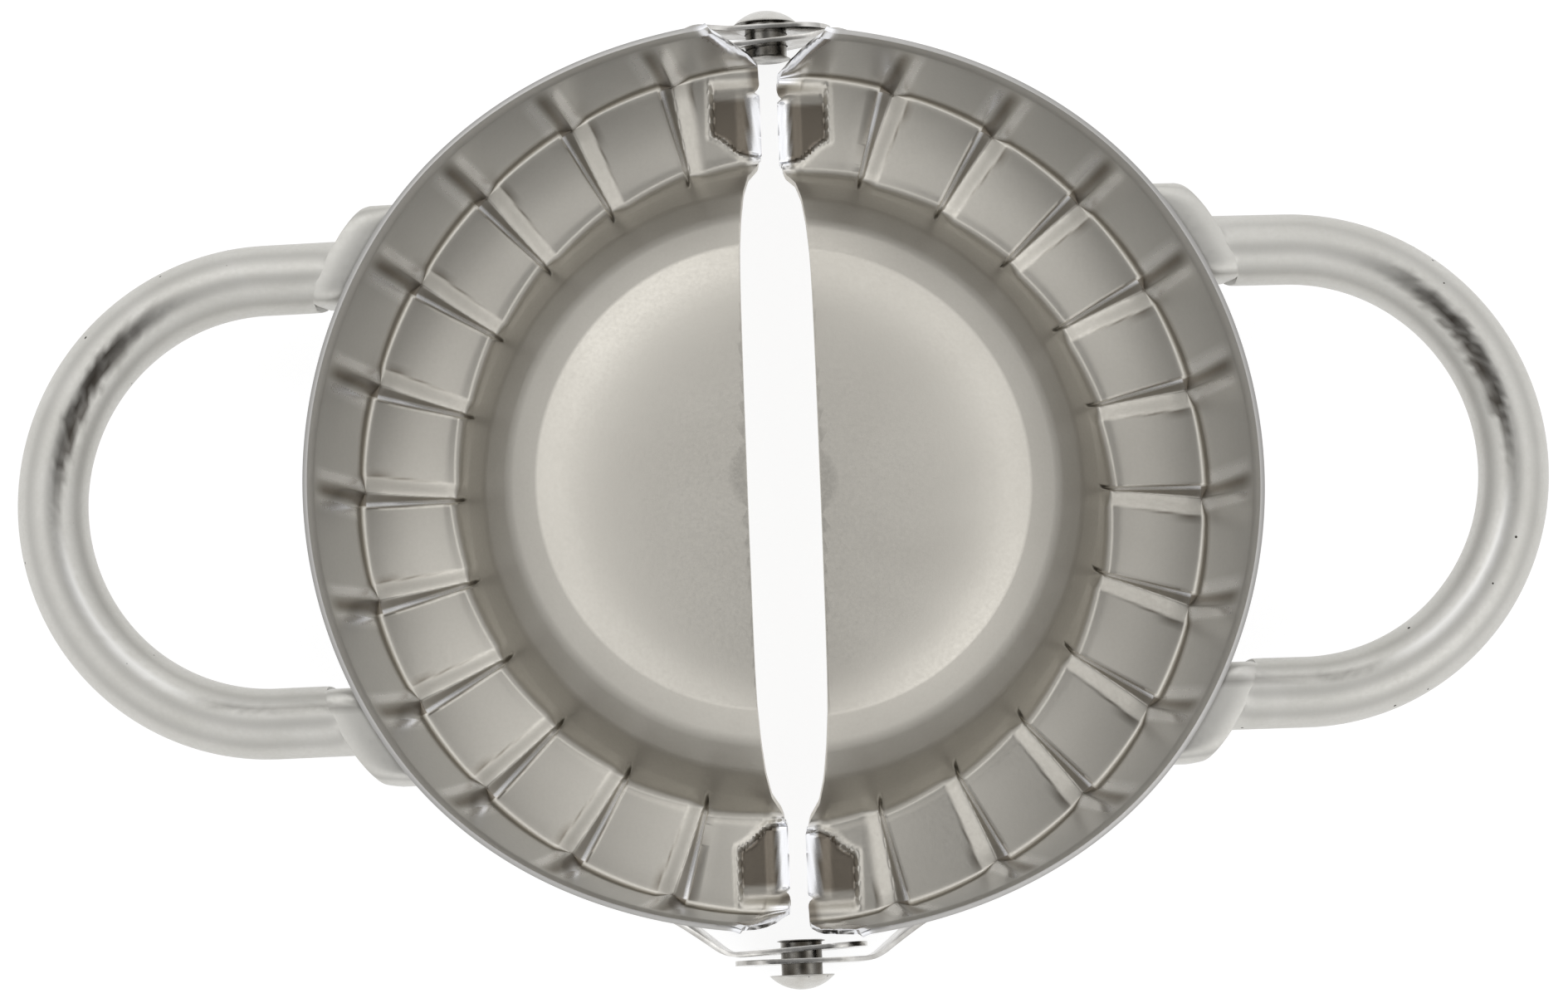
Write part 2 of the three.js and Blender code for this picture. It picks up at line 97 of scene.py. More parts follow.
def ease(value: float, low: float, high: float) -> float:
    """Ease a value from 0 at a low place to 1 at a high one."""
    share = min(max((value - low) / (high - low), 0.0), 1.0)
    return share * share * (3.0 - 2.0 * share)


def fade(value: float, low: float, high: float) -> float:
    """Ease a value from 1 at a low place to 0 at a high one."""
    return 1.0 - ease(value, low, high)


def window(value: float, stops: Window) -> float:
    """Ease a value in between the first two stops and out again between the last two."""
    return ease(value, *stops[:2]) * fade(value, *stops[2:])


def mix(first: float, second: float, share: float) -> float:
    """Go from one value to another by a share."""
    return first + (second - first) * share


class Bench:
    """The steps of modelling by hand that the pieces share."""

    @staticmethod
    def clear() -> None:
        """Leave edit mode with nothing selected."""
        if bpy.context.object and bpy.context.object.mode != "OBJECT":
            Bench.close()
        bpy.ops.object.select_all(action="DESELECT")

    @staticmethod
    def take(piece: Piece) -> None:
        """Make a piece the only selected and the active one.

        Args:
            piece: The piece that the next operators work on.
        """
        Bench.clear()
        piece.select_set(True)
        bpy.context.view_layer.objects.active = piece

    @staticmethod
    def edit(piece: Piece) -> None:
        """Open a piece in edit mode with nothing selected.

        Args:
            piece: The piece to edit.
        """
        Bench.take(piece)
        bpy.ops.object.mode_set(mode="EDIT")
        bpy.ops.mesh.select_mode(type=Pick.VERTS.value)
        bpy.ops.mesh.select_all(action="DESELECT")

    @staticmethod
    def close() -> None:
        """Go back to object mode."""
        bpy.ops.object.mode_set(mode="OBJECT")

    @staticmethod
    def name(piece: Piece, name: str) -> None:
        """Name a piece and its mesh."""
        piece.name = name
        piece.data.name = name

    @staticmethod
    def select(pick: Pick, wanted: Callable[[Vector], bool]) -> None:
        """Select the elements whose middle is at a wanted place, and nothing else.

        Args:
            pick: The kind of element.
            wanted: Says of a middle point whether its element is selected.
        """
        bpy.ops.mesh.select_mode(type=pick.value)
        bpy.ops.mesh.select_all(action="DESELECT")
        mesh = bpy.context.object.data
        shape = bmesh.from_edit_mesh(mesh)
        if pick is Pick.VERTS:
            places = [(vert, vert.co) for vert in shape.verts]
        elif pick is Pick.EDGES:
            places = [(edge, (edge.verts[0].co + edge.verts[1].co) / 2) for edge in shape.edges]
        else:
            places = [(face, face.calc_center_median()) for face in shape.faces]
        for element, place in places:
            if wanted(place):
                element.select_set(True)
        bmesh.update_edit_mesh(mesh)

    @staticmethod
    def select_all() -> None:
        """Select the whole of the piece in edit mode."""
        bpy.ops.mesh.select_all(action="SELECT")

    @staticmethod
    def line(name: str, points: list[Vector]) -> Piece:
        """Draw an open line by extruding one vertex from point to point, and stay in edit mode.

        Args:
            name: The name of the new object.
            points: The points of the line.

        Returns:
            The object, in edit mode.
        """
        Bench.clear()
        bpy.ops.mesh.primitive_plane_add(size=1.0, location=(0.0, 0.0, 0.0))
        piece = bpy.context.object
        Bench.name(piece, name)
        Bench.edit(piece)
        Bench.select_all()
        bpy.ops.mesh.merge(type="CENTER")
        bpy.ops.transform.translate(value=points[0])
        for before, after in pairwise(points):
            bpy.ops.mesh.extrude_region_move(TRANSFORM_OT_translate={"value": after - before})
        return piece

    @staticmethod
    def spin(steps: int, sweep: float, centre: Vector, axis: Vector, merge: float = HAIR) -> None:
        """Spin all that is drawn, merge its doubles and make its faces agree.

        Args:
            steps: How many steps the sweep has.
            sweep: The angle, with the right-hand rule about the axis.
            centre: A point on the axis.
            axis: The direction of the axis.
            merge: The distance below which two vertices become one.
        """
        Bench.select_all()
        bpy.ops.mesh.spin(steps=steps, angle=-sweep, center=centre, axis=axis)
        Bench.select_all()
        bpy.ops.mesh.remove_doubles(threshold=merge)
        bpy.ops.mesh.normals_make_consistent(inside=False)

    @staticmethod
    def modify(piece: Piece, kind: str, **settings: object) -> None:
        """Add a modifier with its settings and apply it.

        Args:
            piece: The piece to finish.
            kind: The kind of modifier.
            settings: The modifier's settings by name.
        """
        Bench.take(piece)
        step = piece.modifiers.new(kind.lower(), kind)
        for name, value in settings.items():
            setattr(step, name, value)
        bpy.ops.object.modifier_apply(modifier=step.name)

    @staticmethod
    def sheet(piece: Piece, thickness: float, offset: float, even: bool) -> None:
        """Give a flat or pressed sheet its thickness, with its sheared rim in the second slot.

        Args:
            piece: The sheet.
            thickness: How thick it becomes.
            offset: -1 to grow it behind its face, 0 to grow it both ways.
            even: Whether the thickness is kept where the sheet bends.
        """
        piece.data.materials.append(None)
        piece.data.materials.append(None)
        Bench.modify(piece, "SOLIDIFY", thickness=thickness, offset=offset, use_even_offset=even,
                     use_rim=True, material_offset_rim=1)

    @staticmethod
    def soften(piece: Piece, width: float, sharp: float, smooth: float) -> None:
        """Round a piece's sharp edges and shade it smooth.

        Args:
            piece: The piece to finish.
            width: The width of the rounding.
            sharp: The angle between faces, in degrees, from which an edge is rounded.
            smooth: The widest angle that is shaded smooth, in degrees.
        """
        Bench.modify(piece, "BEVEL", width=width, segments=2, limit_method="ANGLE",
                     angle_limit=math.radians(sharp))
        Bench.smooth(piece, smooth)

    @staticmethod
    def smooth(piece: Piece, angle: float) -> None:
        """Shade a piece smooth up to an angle between its faces, in degrees."""
        Bench.take(piece)
        bpy.ops.object.shade_smooth_by_angle(angle=math.radians(angle))

    @staticmethod
    def copy(piece: Piece) -> Piece:
        """Copy a piece with its own mesh.

        Args:
            piece: The piece to copy.

        Returns:
            The copy.
        """
        Bench.take(piece)
        bpy.ops.object.duplicate(linked=False)
        return bpy.context.object

    @staticmethod
    def shape_verts(piece: Piece, moved: Callable[[Vector], Vector]) -> None:
        """Move every vertex of a piece by a rule.

        Args:
            piece: The piece to shape.
            moved: Gives a vertex's new place from its old one.
        """
        for vert in piece.data.vertices:
            vert.co = moved(vert.co.copy())
        piece.data.update()

    @staticmethod
    def paint(piece: Piece, layers: tuple[str, ...], marks: Callable[[Vector], tuple[float, ...]]) -> None:
        """Give every vertex its marks, each kept as an attribute of the mesh.

        Args:
            piece: The piece to mark.
            layers: The names of the marks.
            marks: Gives a vertex's marks from its place.
        """
        for layer in layers:
            piece.data.attributes.new(layer, "FLOAT", "POINT")
        for vert in piece.data.vertices:
            for layer, value in zip(layers, marks(vert.co)):
                piece.data.attributes[layer].data[vert.index].value = value


@dataclass(frozen=True)
class HalfPlacement:
    """Where a half lies: from the way it is drawn to the way it rests on the table, in metres."""

    side: Side
    hinge: Vector
    droop: float
    half_offset: float

    def matrix(self) -> Matrix:
        """Work out where the half goes.

        Returns:
            The transform from millimetres as drawn to metres in place.
        """
        slide = Matrix.Translation((0.0, -self.half_offset * MILLIMETRE, 0.0))
        turn = Matrix.Rotation(self.side.value, 4, "Z")
        lean = Matrix.Rotation(self.droop, 4, "Y")
        return Matrix.Translation(self.hinge) @ turn @ slide @ lean @ Matrix.Scale(MILLIMETRE, 4)

    def body(self) -> str:
        """Name the body that the half's pieces ride on."""
        return f"{self.side.name.lower()}_half"

    def node(self, piece: str) -> str:
        """Name one of the half's nodes."""
        return f"{self.side.name.lower()}_{piece}"


@dataclass(frozen=True)
class Spot:
    """Where a point of the plain turned sheet lies: on which tile's share, and how far out."""

    radius: float
    height: float
    angle: float
    share: float
    across: float
    outside: bool


@dataclass
class Stamping:
    """The stamped half: dome, ring of saw-tooth tiles, skirt, lip, recesses and notches.

    All sizes are in millimetres, as in the part's source. A share along a tile runs from its foot, one
    across from the dome's foot to the crease.
    """

    sheet: float = 0.55
    axis_drop: float = 1.0
    rim_radius: float = 49.05
    skirt_height: float = 16.6
    skirt_flare: float = 3.15
    skirt_flare_at_hinge: float = 2.0
    crease_fillet: float = 0.9
    curl_reach: float = 2.05
    curl_height: float = 1.4
    curl_fillet: float = 2.0
    edge_round: float = 0.09
    tile_ring_width: float = 10.9
    dome_foot_fillet: float = 1.3
    dome_wall_run: float = 10.4
    crown_fillet: float = 1.5
    wall_fillet: float = 6.0
    crown_height: float = 13.5
    crown_rise: float = 1.45
    crown_late_power: float = 8.0
    crown_late_share: float = 0.6
    wall_shares: tuple[Stretch, ...] = ((0.32, 0.85), (0.62, 0.6), (0.85, 0.27))

    tiles: int = 12
    tile_rise: float = 0.3
    hump_height: float = 0.95
    hump_height_outer: float = 1.25
    hump_run: float = 0.17
    hump_ease: float = 0.35
    step_ease: float = 0.25
    hump_top_inner: float = 0.94
    hump_top_outer: float = 0.855
    foot_bead: float = 0.16
    foot_share: float = 0.022
    foot_groove: float = 0.07
    groove_share: float = 0.02
    groove_end_share: float = 0.95
    ridge_height: float = 0.12
    ridge_stops: Window = (0.5, 1.5, 1.5, 8.0)
    inner_saw: float = 0.9
    saw_reach: float = 0.3
    crease_relief: float = 0.75
    crease_ease: float = 0.75
    wall_fade: float = 4.0
    skirt_fade: float = 12.5
    rim_round_share: float = 0.41
    rim_pulled_share: float = 0.9

    # Painted shade and highlight: the dark shares paint shade on the steps, in thin lines, in the foot
    # groove, on the skirt and in the crease, and darken the colour towards the rim; the pale shares paint
    # highlights along the tile feet and beside each step on the skirt.
    line_share: float = 0.02
    line_reach_shares: Stretch = (0.1, 0.6)
    step_dark: float = 0.55
    line_dark: float = 0.75
    hair_dark: float = 0.7
    foot_pale: float = 0.6
    foot_pale_shares: Stretch = (0.5, 1.2)
    foot_reach_shares: Stretch = (0.02, 0.15)
    skirt_dark: float = 0.85
    skirt_blur: float = 0.05
    blur_rise: float = 4.15
    skirt_start: Stretch = (0.0, 1.0)
    skirt_end_share: float = 0.7
    rim_dark: float = 0.3
    rim_dark_start: float = 14.5
    crease_dark: float = 0.6
    crease_stops: Window = (0.15, 0.4, 0.7, 1.4)
    pale_share: float = 0.6
    pale_width: float = 0.065
    pale_edge_shares: Stretch = (0.3, 1.1)
    pale_start: Stretch = (0.3, 1.0)

    split_half_gap: float = 2.05
    lip_half_gap: float = 0.85
    lip_length: float = 2.2
    lip_height: float = 0.25
    lip_taper: float = 1.0
    # Painted shade along the lip beside the split.
    lip_dark: float = 0.8
    lip_dark_stops: Stretch = (1.4, 2.4)
    flat_top: Stretch = (0.0, 1.0)
    notch_half_width: float = 4.3
    notch_margin: float = 0.1
    rim_slope: float = 0.125
    rim_slope_start: float = 6.8
    recess_width: float = 4.2
    recess_depth: float = 0.5
    recess_roll: float = 0.05
    recess_bead: float = 0.13
    bead_width: float = 0.5
    recess_length: float = 9.2
    recess_shoulder: float = 2.6
    recess_wall: float = 0.4
    recess_end_wall: float = 1.6
    # Painted shade on the recess floor, fainter towards its crease end.
    recess_dark: float = 0.92
    recess_dark_shares: Stretch = (0.5, 1.0)
    recess_faint_share: float = 1.0 / 3.0
    recess_faint_stops: Stretch = (42.2, 42.8)
    recess_dark_top: Stretch = (0.5, 1.5)
    roll_lead: float = 3.6
    roll_settled: float = 0.3
    roll_width: float = 1.3
    roll_rise: float = 0.32
    roll_drop: float = 0.25
    # Painted highlight, with a lower roughness, on the rolled strip beside each recess.
    roll_polish_highlight_lead: float = 1.5
    roll_polish_highlight_stops: Stretch = (1.65, 2.15)
    notch_curl_low: float = 0.65
    notch_curl_high: float = 0.3
    notch_curl_width: float = 1.3
    notch_curl_rise: float = 3.6
    # Painted highlight, with a lower roughness, on the tab below each notch.
    tab_stops: Stretch = (3.6, 4.4)
    tab_window: Window = (0.3, 0.7, 5.0, 9.0)

    tile_steps: int = 36
    crown_steps: int = 12
    fillet_steps: int = 6
    wall_cuts: int = 5
    ring_cuts: int = 28
    skirt_cuts: int = 9
    smooth_angle: float = 45.0
    plain_spread: Spread = ((0, 0.0), (3, 0.05), (11, 0.7), (18, 0.85), (36, 1.0))
    near_spread: Spread = ((0, 0.0), (1, 0.15), (10, 0.4), (13, 0.5), (23, 0.7), (25, 0.82), (36, 1.0))
    far_spread: Spread = ((0, 0.0), (3, 0.3), (14, 0.5), (17, 0.6), (32, 0.85), (36, 1.0))

    def __post_init__(self) -> None:
        """Work out the sizes that follow from the driving ones."""
        self.back = self.axis_drop + self.sheet
        self.rim_level = self.back + self.skirt_height
        self.crease_radius = self.rim_radius - self.skirt_flare
        self.foot_radius = self.crease_radius - self.tile_ring_width
        self.crown_radius = self.foot_radius - self.dome_wall_run
        self.flat_radius = self.crease_radius - self.crease_fillet
        self.recess_edge = self.split_half_gap + self.recess_width
        self.recess_inner = self.flat_radius - self.recess_length + self.recess_wall
        self.lip_start = self.crease_radius - self.lip_length
        self.notch_low = self.back + self.lip_height
        self.notch_slope = (self.notch_half_width - self.lip_half_gap) / (self.rim_level - self.notch_low)
        self.pitch = math.pi / self.tiles

    def outline(self) -> list[tuple[Vector, float]]:
        """Draw up the visible face's profile from the crown's pole to the rim.

        Returns:
            Each corner with its fillet.
        """
        places = []
        for step in range(self.crown_steps):
            share = step / self.crown_steps
            fall = mix(share ** 2, share ** self.crown_late_power, self.crown_late_share)
            height = self.crown_height + self.crown_rise * (1.0 - fall)
            places.append((self.crown_radius * share, height, 0.0))
        places += [
            (self.crown_radius, self.crown_height, self.crown_fillet),
            *[(self.crown_radius + self.dome_wall_run * run, self.crown_height * high, self.wall_fillet)
              for run, high in self.wall_shares],
            (self.foot_radius, 0.0, self.dome_foot_fillet),
            (self.crease_radius, 0.0, self.crease_fillet),
            (self.crease_radius + self.curl_reach, self.skirt_height - self.curl_height, self.curl_fillet),
            (self.rim_radius - self.sheet, self.skirt_height, 0.0),
        ]
        return [(Vector((0.0, -radius, self.back + height)), fillet) for radius, height, fillet in places]

    def tile_share(self, index: int) -> float:
        """Spread the spin's even steps over a tile, crowded where its relief or the recess is fine.

        Args:
            index: The step, counted from the near hinge.

        Returns:
            The tile's number plus the share within it.
        """
        tile, step = divmod(index, self.tile_steps)
        spreads = {0: self.near_spread, self.tiles - 1: self.far_spread}
        for (from_step, low), (to_step, high) in pairwise(spreads.get(tile, self.plain_spread)):
            if step <= to_step:
                return tile + mix(low, high, (step - from_step) / (to_step - from_step))
        return tile + 1.0

    def locate(self, place: Vector) -> Spot:
        """Say where a point of the plain turned sheet lies.

        Args:
            place: The point on the plain sheet.

        Returns:
            The spot, with the spin's even steps moved to where they are wanted.
        """
        radius = math.hypot(place.x, place.y)
        even = (math.atan2(place.y, place.x) + math.pi / 2.0) / self.pitch
        share = self.tile_share(round(even * self.tile_steps))
        across = min(max((radius - self.foot_radius) / self.tile_ring_width, 0.0), 1.0)
        return Spot(radius, place.z - self.back, share * self.pitch - math.pi / 2.0,
                    share - math.floor(share + SPECK), across,
                    radius > self.foot_radius + self.tile_ring_width / 2.0)

    def hump_top(self, across: float) -> float:
        """Give the share along a tile at which its hump is highest."""
        return mix(self.hump_top_inner, self.hump_top_outer, across)

    def tile_height(self, share: float, across: float) -> float:
        """Give the saw-tooth height of a tile: a slow rise, a rounded hump, a steep step.

        Args:
            share: The share along the tile.
            across: The share across the ring.

        Returns:
            The height above the ring.
        """
        top = self.hump_top(across)
        height = mix(self.hump_height, self.hump_height_outer, across)
        groove = self.foot_groove * fade(across, self.crease_ease, self.groove_end_share)
        start = top - self.hump_run
        foot = 1.0 - self.foot_share
        if share <= start:
            return self.tile_rise * (share / start) ** 2 - groove * fade(share, 0.0, self.groove_share)
        if share <= top:
            climb = (share - start) / (top - start)
            return mix(self.tile_rise, height, mix(climb, ease(climb, 0.0, 1.0), self.hump_ease))
        if share <= foot:
            fall = (share - top) / (foot - top)
            return mix(height, self.foot_bead, mix(fall, ease(fall, 0.0, 1.0), self.step_ease))
        return mix(self.foot_bead, -groove, ease(share, foot, 1.0))

    def recess(self, place: Vector, grown: float = 0.0) -> float:
        """Say how much of a hinge recess shows at a place.

        Args:
            place: A point with the split in the plane of Y and Z.
            grown: How much larger the recess is taken.

        Returns:
            The share, 0 outside and 1 on the recess's floor.
        """
        edge = self.recess_edge + grown
        outer = self.flat_radius + grown
        inner = self.recess_inner - grown + self.recess_shoulder * ease(place.x, self.split_half_gap, edge)
        along = window(abs(place.y), (inner - self.recess_wall, inner, outer - self.recess_end_wall, outer))
        return along * fade(place.x, edge - self.recess_wall, edge)

    def pressed(self, place: Vector, normal: Vector) -> Vector:
        """Press a point of the plain turned sheet into its tile, recess and pulled-in rim.

        Args:
            place: The point on the plain sheet.
            normal: The sheet's direction there.

        Returns:
            The point's new place.
        """
        spot = self.locate(place)
        if spot.radius < self.crown_radius / 2.0:
            return place
        fading = fade(spot.height, 0.0, self.skirt_fade if spot.outside else self.wall_fade)
        saw = self.inner_saw * (self.hump_top_inner / 2.0 - min(spot.share, self.hump_top_inner))
        saw *= fading * fade(spot.across, 0.0, self.saw_reach)
        radius = spot.radius
        if spot.outside and spot.height > 0.0:
            pulled = ease(abs(spot.angle) * 2.0 / math.pi, self.rim_round_share, self.rim_pulled_share)
            inwards = self.skirt_flare - self.skirt_flare_at_hinge
            radius -= inwards * pulled * spot.height / self.skirt_height
        from_foot = radius - self.foot_radius
        radius += saw
        moved = Vector((radius * math.cos(spot.angle), radius * math.sin(spot.angle), place.z))
        sunk = self.recess(moved) * fading
        ringed = self.recess(moved, self.bead_width) * fading
        floor = fade(moved.x, self.split_half_gap, self.recess_edge)
        at_crease = mix(1.0, self.crease_relief, ease(spot.across, self.crease_ease, 1.0))
        raised = self.tile_height(spot.share, spot.across) * fading * at_crease
        raised += self.ridge_height * window(from_foot, self.ridge_stops) + self.recess_bead * ringed
        lift = raised * (1.0 - sunk) - (self.recess_depth + self.recess_roll * floor ** 2) * sunk
        turned = Matrix.Rotation(spot.angle - math.atan2(place.y, place.x), 3, "Z") @ normal
        return moved + turned * lift

    def marks(self, place: Vector) -> tuple[float, float, float]:
        """Say how much painted shade, painted skirt tone and painted highlight a place of the plain turned
        sheet gets.

        Args:
            place: The point on the plain sheet.

        Returns:
            Its painted shade, how far it takes the skirt's painted tone, and its painted highlight, from 0
            to 1.
        """
        spot = self.locate(place)
        if spot.radius < self.crown_radius:
            return 0.0, 0.0, 0.0
        foot = 1.0 - self.foot_share
        top = self.hump_top(spot.across)
        # Painted shade on each steep step, blurred up the skirt.
        blur = self.skirt_blur * ease(spot.height, 0.0, self.blur_rise) if spot.outside else 0.0
        step = window(spot.share, (top - blur, top + self.line_share + blur,
                                   foot - blur, foot + blur / 2.0 + HAIR))
        if spot.height > 0.0:
            if spot.outside:
                return self.skirt_marks(spot, step, top)
            return self.step_dark * step * fade(spot.height, 0.0, self.wall_fade), 0.0, 0.0
        # Painted shade in a thin line where each hump starts and along the foot groove.
        line = abs(spot.share - top + self.hump_run) / self.line_share
        hair = min(spot.share, 1.0 - spot.share) / self.groove_share
        lines = max(self.line_dark * fade(line, 0.0, 1.0), self.hair_dark * fade(hair, 0.0, 1.0))
        dark = max(self.step_dark * step, lines * ease(spot.across, *self.line_reach_shares))
        # Painted highlight along each tile's foot, lifting the shade there.
        foot_line = abs(spot.share - foot + self.line_share / 2.0) / self.line_share
        pale = self.foot_pale * fade(foot_line, *self.foot_pale_shares)
        pale *= ease(spot.across, *self.foot_reach_shares)
        return dark * (1.0 - pale), 0.0, pale

    def skirt_marks(self, spot: Spot, step: float, top: float) -> tuple[float, float, float]:
        """Paint a place of the skirt: shade in a band at each step between two painted highlights, shade in
        the crease, and darker towards the rim.

        Args:
            spot: The place.
            step: How far it belongs to a step.
            top: The share along the tile at which the hump is highest.

        Returns:
            Its painted shade, how far it takes the skirt's painted tone, and its painted highlight, from 0
            to 1.
        """
        carried = fade(spot.height, self.skirt_height * self.skirt_end_share, self.skirt_height)
        middles = (top - self.pale_width, self.pale_width - self.foot_share,
                   1.0 + self.pale_width - self.foot_share)
        off = min(abs(spot.share - middle) for middle in middles) / self.pale_width
        # Painted shade in the crease; the colour also darkens towards the rim.
        crease = self.crease_dark * window(spot.height, self.crease_stops)
        rim = self.rim_dark * ease(spot.height, self.rim_dark_start, self.skirt_height)
        dark = max(self.skirt_dark * step * carried, crease, rim)
        pale = self.pale_share * carried * fade(off, *self.pale_edge_shares)
        pale *= ease(spot.height, *self.pale_start)
        return dark, ease(spot.height, *self.skirt_start), pale * (1.0 - dark)

    def trimmed(self, place: Vector) -> Vector:
        """Pull the cut edge near a hinge out to the narrow lip, with a rolled strip beside the recess.

        Args:
            place: A point of the cut sheet.

        Returns:
            The point's new place.
        """
        lip = ease(abs(place.y), self.lip_start - self.lip_taper, self.lip_start)
        rolled = ease(abs(place.y), self.recess_inner - self.roll_lead,
                      self.recess_inner + self.roll_settled) * (1.0 - lip)
        at_split = fade(place.x, self.split_half_gap, self.split_half_gap + self.roll_width)
        shift = (self.split_half_gap - self.lip_half_gap) * max(lip, rolled) * at_split
        hem = self.roll_rise * 4.0 * at_split * (1.0 - at_split) - self.roll_drop * at_split ** 2
        up = max(place.z - self.back, 0.0) / self.skirt_height if lip else 0.0
        sloped = self.rim_slope * max(self.rim_slope_start - place.x, 0.0) * up
        return Vector((place.x - shift, place.y, place.z + hem * rolled - sloped))

    def curled(self, place: Vector) -> Vector:
        """Curl the skirt outwards along the cut of the notch.

        Args:
            place: A point of the cut sheet.

        Returns:
            The point's new place.
        """
        height = place.z - self.back
        if abs(place.y) < self.lip_start or height < self.lip_height:
            return place
        amount = mix(self.notch_curl_low, self.notch_curl_high, height / self.skirt_height)
        amount *= ease(height, 0.0, self.notch_curl_rise)
        amount *= ease(abs(place.y), self.flat_radius, self.crease_radius)
        near = 1.0 - max(self.from_notch(place), -TOUCH) / self.notch_curl_width
        curl = amount * max(near, 0.0) ** 2
        return Vector((place.x, place.y + math.copysign(curl, place.y), place.z))

    def from_notch(self, place: Vector) -> float:
        """Measure how far a point is from the slanted cut of the notch.

        Args:
            place: A point of the sheet.

        Returns:
            The distance, negative below the notch.
        """
        if place.z < self.notch_low - HAIR:
            return -1.0
        edge = self.lip_half_gap + self.notch_slope * (place.z - self.notch_low)
        return (place.x - edge) / math.hypot(1.0, self.notch_slope)

    def hinge_marks(self, place: Vector) -> tuple[float, float, float]:
        """Say how much painted shade and painted highlight a place near a hinge gets.

        Args:
            place: A point of the cut and trimmed sheet.

        Returns:
            How much of the recess shows there, its painted shade, and its polish with painted highlight,
            each from 0 to 1.
        """
        height = place.z - self.back
        along = abs(place.y)
        shown = self.recess(place)
        flat = fade(height, *self.flat_top)
        # Painted shade on the recess floor and along the lip.
        faint = mix(1.0, self.recess_faint_share, ease(along, *self.recess_faint_stops))
        dark = self.recess_dark * faint * ease(shown, *self.recess_dark_shares)
        dark *= fade(height, *self.recess_dark_top)
        lip = ease(along, self.lip_start - self.lip_taper, self.lip_start) * flat
        dark = max(dark, self.lip_dark * lip * fade(place.x, *self.lip_dark_stops))
        # Painted highlight, with a lower roughness, on the rolled strip, along the notch's curl and on the
        # tab.
        polish_and_highlight = 0.0
        if self.recess_inner - self.roll_lead < along < self.lip_start:
            polish_and_highlight = fade(place.x, *self.roll_polish_highlight_stops)
            polish_and_highlight *= window(along, (self.recess_inner - self.roll_polish_highlight_lead, self.recess_inner,
                                     self.lip_start - self.lip_taper, self.lip_start - self.lip_taper / 2.0))
        notch = self.from_notch(place)
        if along > self.lip_start and notch >= -TOUCH:
            band = fade(notch, self.notch_curl_width / 2.0, self.notch_curl_width)
            band *= ease(height, *self.tab_window[:2])
            tab = fade(place.x, *self.tab_stops) * window(height, self.tab_window)
            polish_and_highlight = max(polish_and_highlight, band, tab)
        return shown * flat, dark * (1.0 - polish_and_highlight), polish_and_highlight

    def draw_profile(self, name: str) -> Piece:
        """Draw the profile, round its corners and divide its long sides.

        Args:
            name: The name of the new object.

        Returns:
            The drawn profile, in edit mode.
        """
        drawn = self.outline()
        places = [place for place, _ in drawn]
        piece = Bench.line(name, places)
        reaches = [0.0] * len(places)
        for index, (corner, fillet) in enumerate(drawn):
            if fillet:
                bend = (places[index - 1] - corner).angle(places[index + 1] - corner)
                reaches[index] = fillet / math.tan(bend / 2.0)
        for corner, reach in zip(places, reaches):
            if reach:
                Bench.select(Pick.VERTS, lambda place: (place - corner).length < HAIR)
                bpy.ops.mesh.bevel(offset=reach, offset_type="OFFSET", segments=self.fillet_steps,
                                   affect="VERTICES")
        # The last four corners are the dome's foot, the crease, the curl and the rim.
        foot = len(places) - 4
        for first, cuts in enumerate((self.wall_cuts, self.ring_cuts, self.skirt_cuts), foot - 1):
            start, end = places[first], places[first + 1]
            along = (end - start).normalized()
            middle = (start + end + along * (reaches[first] - reaches[first + 1])) / 2.0
            Bench.select(Pick.EDGES, lambda place: (place - middle).length < TOUCH)
            bpy.ops.mesh.subdivide(number_cuts=cuts)
        return piece

    def model(self, name: str) -> Piece:
        """Model one drawn half-shell.

        Args:
            name: The name of the new object.

        Returns:
            The shell, drawn in millimetres.
        """
        piece = self.draw_profile(name)
        Bench.spin(self.tiles * self.tile_steps, math.pi, Vector(), UP)
        if bmesh.from_edit_mesh(piece.data).faces[0].normal.z < 0.0:
            Bench.select_all()
            bpy.ops.mesh.flip_normals()
        Bench.close()
        normals = [vert.normal.copy() for vert in piece.data.vertices]
        # Paint the marks: fold is painted shade and a darkening towards the rim, skirt a painted cooler grey
        # tone for the skirt's reflection, polish a painted highlight on smoother steel.
        Bench.paint(piece, ("fold", "skirt", "polish_and_highlight"), self.marks)
        for vert, normal in zip(piece.data.vertices, normals):
            vert.co = self.pressed(vert.co.copy(), normal)
        piece.data.update()
        Bench.edit(piece)
        bpy.ops.mesh.select_mode(type=Pick.FACES.value)
        Bench.select_all()
        bpy.ops.mesh.bisect(plane_co=(self.split_half_gap, 0.0, 0.0), plane_no=(-1.0, 0.0, 0.0),
                            clear_outer=True)
        Bench.close()
        Bench.shape_verts(piece, self.trimmed)
        self.cut_notches(piece)
        Bench.shape_verts(piece, self.curled)
        # Over the recesses, the hinge's painted shade and painted highlight take the place of the tile
        # marks.
        fold = piece.data.attributes["fold"].data
        polish_and_highlight = piece.data.attributes["polish_and_highlight"].data
        for vert in piece.data.vertices:
            sunk, dark, bright = self.hinge_marks(vert.co)
            fold[vert.index].value = max(fold[vert.index].value * (1.0 - sunk), dark)
            polish_and_highlight[vert.index].value = max(polish_and_highlight[vert.index].value * (1.0 - sunk), bright)
        Bench.sheet(piece, self.sheet, -1.0, False)
        Bench.soften(piece, self.edge_round, SHARP_EDGE, self.smooth_angle)
        return piece

